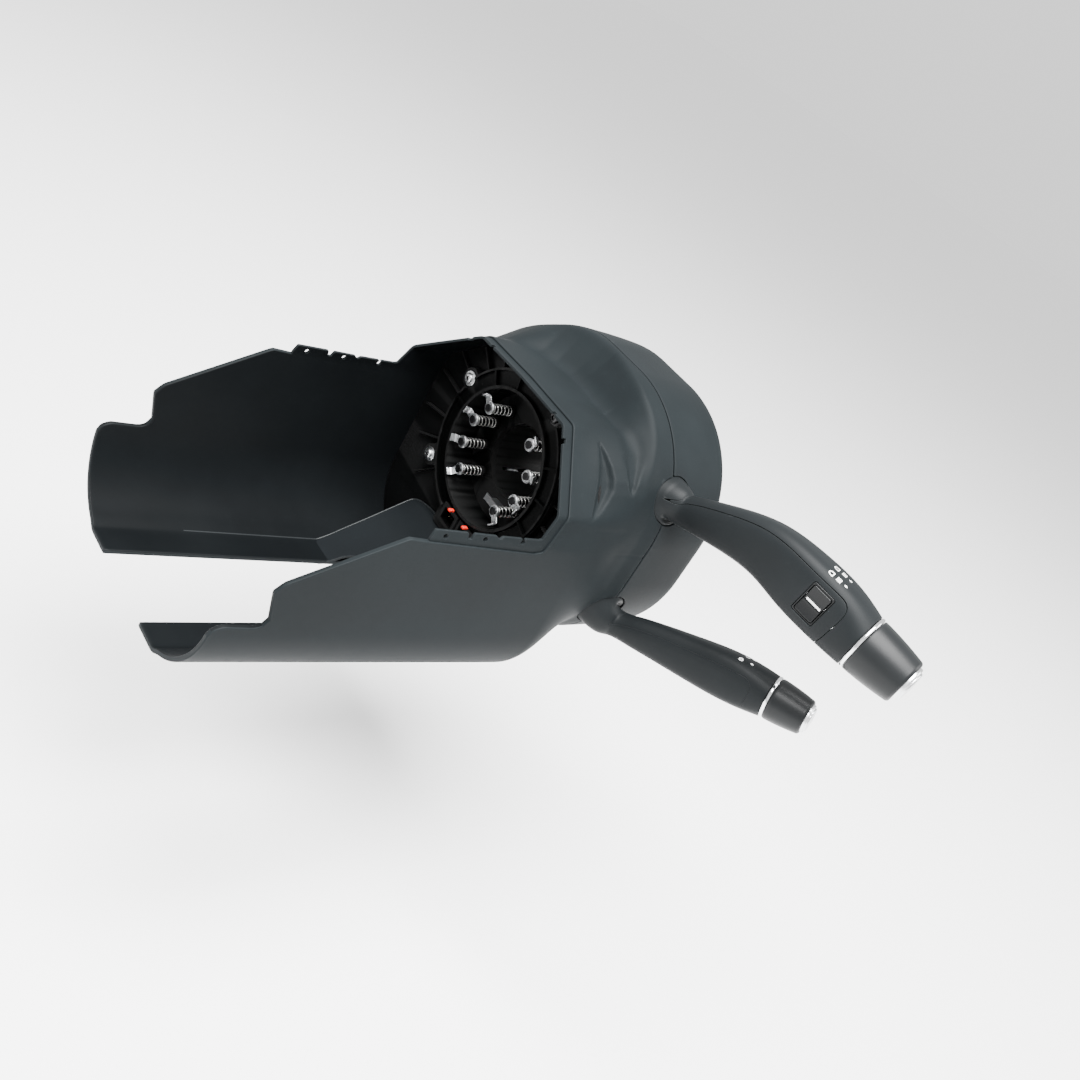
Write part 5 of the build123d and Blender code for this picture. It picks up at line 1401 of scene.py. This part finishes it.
def build_stalks():
    out = []
    for tag in ("upper", "lower"):
        lower, upper = skin_pieces(tag)
        body = tag + "_stalk"
        out.append((lower, body, "stalk_plastic", MAT["stalk"], (tag + "_stalk_panel",)))
        out.append((upper, body, "stalk_plastic", MAT["stalk"], (tag + "_stalk_shell",)))
        fr = UP if tag == "upper" else LO
        prof = [(16.85 * math.cos(math.radians(d)), 16.85 * math.sin(math.radians(d))) for d in np.linspace(97, 32, 24)]
        prof += [(15.6 * math.cos(math.radians(d)), 15.6 * math.sin(math.radians(d))) for d in np.linspace(32, 97, 24)]
        prof.append(prof[0])
        liner = shade_auto(join_meshes(tag + "_ball_liner", [lathe(prof, fr.p, fr.u, 64)]), 30)
        out.append((liner, body, "boot_rubber", MAT["boot"], (tag + "_ball_boot",)))
    button, bezel, well, bar_ = build_rocker()
    out.append((button, "rocker", "inner_plastic", MAT["rocker"], ("rocker_button",)))
    out.append((bar_, "rocker", "acetal", MAT["white"]))
    out.append((bezel, "upper_stalk", "stalk_plastic", MAT["rocker"], ("rocker_bezel",)))
    out.append((well, "upper_stalk", "stalk_plastic", MAT["rocker"]))
    for ob in build_icons():
        out.append(ob)
    return out


ICONS = (
    ("upper", 96.1, 60.5, "lamp", 90), ("upper", 99.8, 61.5, "block", 90), ("upper", 104.6, 63.5, "diamond", 90),
    ("upper", 95.9, 89.0, "lamp", 90), ("upper", 99.4, 92.0, "block", 90), ("upper", 104.0, 92.0, "diamond", 90),
    ("lower", 82.2, 64.5, "ring", 0), ("lower", 89.1, 68.0, "diamond", 90),
    ("lower", 81.6, 103.0, "arc", 0), ("lower", 84.8, 100.0, "arc", 180), ("lower", 88.8, 103.0, "diamond", 90),
)


def build_icons():
    out = []
    diamond = [(0, 1.25), (0.85, 0), (0, -1.25), (-0.85, 0)]
    for k, (tag, s, du, kind, rot) in enumerate(ICONS):
        if kind == "lamp":
            loops = [arch_loop(3.5, 3.6), [(a * 0.6, 0.55 + b * 0.66) for a, b in arch_loop(3.5, 3.6)]]
        elif kind == "block":
            loops = [rounded_rect(0, y, 3.3, 0.52, 0.12, 3) for y in (-1.2, -0.4, 0.4, 1.2)]
        elif kind == "ring":
            loops = [circle(0, 0, 1.5, 28), circle(0, 0, 0.62, 20)]
        elif kind == "arc":
            pts = [(1.75 * math.cos(t), 1.75 * math.sin(t)) for t in np.linspace(0.35, 2.8, 14)]
            loops = [pts + [(1.15 * math.cos(t), 1.15 * math.sin(t)) for t in np.linspace(2.8, 0.35, 14)]]
        else:
            loops = [diamond]
        ob = icon("print_%02d_%s" % (k, kind), tag, s, du, loops, rot)
        out.append((ob, tag + "_stalk", "acetal", MAT["white"]))
    return out


# ---------------------------------------------------------------------------
# Rings, knobs, end buttons, springs
# ---------------------------------------------------------------------------
def build_small():
    out = []
    for tag in ("upper", "lower"):
        sk = SKIN[tag]
        K = 1.0 if tag == "upper" else 0.775
        tip, ax = sk.tip, sk.a
        R, r = 18.0 * K, 9.2 * K
        # ring, domed across its edge
        prof = [(0.15, r), (0.15, R - 0.9)]
        for t in np.linspace(-90, 90, 15):
            q = math.radians(t)
            prof.append((1.3 + 1.15 * math.sin(q), R - 0.75 + 0.75 * math.cos(q)))
        prof += [(2.45, R - 0.9), (2.45, r), (0.15, r)]
        ring = shade_auto(join_meshes(tag + "_trim_ring", [lathe(prof, tip, ax, 128)]), 40)
        out.append((ring, tag + "_stalk", "chrome_trim", MAT["chrome"], (tag + "_chrome_ring",)))
        # knob: tapered barrel with soft shoulders
        e0, e1 = 2.78, 33.0 * K
        prof = [(e0, 9.06 * K), (e0, 17.1 * K), (e0 + 0.12, 17.32 * K), (e0 + 0.4, 17.46 * K), (4.5, 17.5 * K)]
        for t in np.linspace(0, 1, 22)[1:]:
            x = 4.5 + (30.6 * K - 4.5) * t
            y = 17.5 * K + (14.75 * K - 17.5 * K) * (0.35 * t + 0.65 * t ** 1.9)
            prof.append((x, y))
        for t in np.linspace(0, 90, 9)[1:]:
            q = math.radians(t)
            prof.append((30.6 * K + 2.4 * K * math.sin(q), 14.75 * K - 2.0 * K + 2.0 * K * math.cos(q) - 0.12 * K * math.sin(q)))
        prof += [(e1, 12.7 * K), (e1 - 0.12, 12.48 * K), (e1 - 0.45, 12.36 * K), (21.6 * K, 12.35 * K), (21.6 * K, 9.06 * K), (e0, 9.06 * K)]
        knob = shade_auto(join_meshes(tag + "_knob_barrel", [lathe(prof, tip, ax, 128)]), 32)
        out.append((knob, tag + "_knob", "stalk_plastic", MAT["knob"], (tag + "_rotary_knob",)))
        # end button: skirt, step and shallow dome
        e2 = 37.2 * K
        prof = [(24.6 * K, 0.0), (24.6 * K, 11.6 * K), (24.8 * K, 11.9 * K), (25.4 * K, 12.0 * K), (33.6 * K, 12.0 * K)]
        for t in np.linspace(0, 90, 8)[1:]:
            q = math.radians(t)
            prof.append((33.6 * K + 1.5 * K * math.sin(q), 12.0 * K - 0.9 * K * (1 - math.cos(q))))
        prof += [(35.12 * K, 10.85 * K), (35.0 * K, 10.6 * K), (35.0 * K, 10.3 * K), (35.2 * K, 10.05 * K)]
        for t in np.linspace(0, 90, 7)[1:]:
            q = math.radians(t)
            prof.append((35.2 * K + 1.3 * K * math.sin(q), 10.05 * K - 1.1 * K * (1 - math.cos(q))))
        for t in np.linspace(0, 1, 10)[1:]:
            prof.append((36.5 * K + 0.7 * K * math.sin(t * math.pi / 2), 8.95 * K * (1 - t)))
        prof[-1] = (e2, 0.0)
        button = shade_auto(join_meshes(tag + "_push_button", [lathe(prof, tip, ax, 96), lathe([(11.6 * K, 0.0), (11.6 * K, 2.7 * K), (11.9 * K, 3.0 * K), (24.7 * K, 3.0 * K), (24.7 * K, 0.0)], tip, ax, 32)]), 32)
        out.append((button, tag + "_button", "silver_button", MAT["silver"], (tag + "_end_button",)))
        sp = shade_auto(join_meshes(tag + "_button_coil", [coil(tip + ax * 8.3 * K, ax, 4.4 * K, 0.9 * K, 16.0 * K, 6.0, 24, 8)]), 60)
        out.append((sp, tag + "_stalk", "spring_steel", MAT["spring"], (tag + "_button_spring",)))
        fr = sk.fr
        sp = shade_auto(join_meshes(tag + "_detent_coil", [coil(fr.p - fr.u * 17.0, fr.u, 1.75, 0.55, 5.0, 5.0, 20, 8)]), 60)
        out.append((sp, tag + "_stalk", "spring_steel", MAT["spring"], (tag + "_detent_spring",)))
    return out


# ---------------------------------------------------------------------------
# Camera, floor and lights
# ---------------------------------------------------------------------------
def build_camera():
    R = np.array([[-0.52089811, -0.71089196, 0.47254395], [-0.63865573, -0.04273954, -0.76830475], [0.56637798, -0.70200139, -0.43175228]])
    t = np.array([13.835, -47.610, 790.609])
    c = -R.T @ t * MM
    cam = bpy.data.cameras.new("camera")
    cam.lens_unit = "MILLIMETERS"
    cam.sensor_fit = "HORIZONTAL"
    cam.sensor_width = 36.0
    cam.lens = 1208.8 / 1080.0 * 36.0
    cam.clip_start, cam.clip_end = 0.01, 50.0
    ob = bpy.data.objects.new("camera", cam)
    COLLECTION.objects.link(ob)
    X, Y, Z = R[0], -R[1], -R[2]
    ob.matrix_world = Matrix(((X[0], Y[0], Z[0], c[0]), (X[1], Y[1], Z[1], c[1]), (X[2], Y[2], Z[2], c[2]), (0, 0, 0, 1)))
    bpy.context.scene.camera = ob
    return ob


def area_light(name, loc, target, size, energy, color=(1, 1, 1), size_y=None):
    li = bpy.data.lights.new(name, "AREA")
    li.energy, li.color = energy, color
    li.shape = "RECTANGLE" if size_y else "DISK"
    li.size = size
    if size_y:
        li.size_y = size_y
    ob = bpy.data.objects.new(name, li)
    COLLECTION.objects.link(ob)
    ob.location = loc
    d = Vector(target) - Vector(loc)
    ob.rotation_euler = d.to_track_quat("-Z", "Y").to_euler()
    return ob


def build_stage():
    world = bpy.data.worlds.new("studio")
    bpy.context.scene.world = world
    world.use_nodes = True
    bg = world.node_tree.nodes["Background"]
    bg.inputs["Color"].default_value = (1, 1, 1, 1)
    bg.inputs["Strength"].default_value = 1.28
    # pale floor plane
    z0 = -0.30
    me = bpy.data.meshes.new("floor")
    s = 9.0
    me.from_pydata([(-s, -s, z0), (s, -s, z0), (s, s, z0), (-s, s, z0)], [], [(0, 1, 2, 3)])
    floor = bpy.data.objects.new("floor", me)
    COLLECTION.objects.link(floor)
    m = bpy.data.materials.new("pale_floor")
    m.use_nodes = True
    b = m.node_tree.nodes["Principled BSDF"]
    b.inputs["Base Color"].default_value = (0.98, 0.98, 0.98, 1)
    b.inputs["Roughness"].default_value = 0.9
    b.inputs["Specular IOR Level"].default_value = 0.1
    me.materials.append(m)
    area_light("key_overhead", (-0.35, 0.35, 1.35), (0, 0.08, 0), 1.3, 182.0)
    area_light("fill_rear", (-1.3, 1.2, 0.5), (0, 0.1, 0), 0.9, 3.0)
    area_light("rim_front", (-0.9, -1.1, 0.8), (-0.1, 0, 0), 0.8, 17.0)


# ---------------------------------------------------------------------------
# Put it together
# ---------------------------------------------------------------------------
build_materials()
dress_cad_nodes()
shell, strip = build_housing(None, None)
finish_piece(shell, "housing", "housing_plastic", MAT["housing"], ("rear_housing",))
finish_piece(strip, "housing", "housing_plastic", MAT["housing"])
# the shroud's inner faces: smoother finish, and a darker colour that is painted shade of the hollow
for ob in (shell, strip):
    ob.data.materials.append(MAT["inside"])
    for p in ob.data.polygons:
        dx, dz = p.center.x, p.center.z - DZ * MM
        if p.normal.x * dx + p.normal.z * dz < -0.35 * math.hypot(dx, dz):
            p.material_index = 1
cover, tongue, pillars = build_cover()
finish_piece(cover, "housing", "housing_plastic", MAT["housing"], ("front_cover",))
finish_piece(tongue, "housing", "inner_plastic", MAT["inner"])
finish_piece(pillars, "housing", "inner_plastic", MAT["inner"])
for ob in build_interior():
    finish_piece(*ob)
for ob in build_stalks():
    finish_piece(*ob)
for ob in build_small():
    finish_piece(*ob)
build_camera()
build_stage()
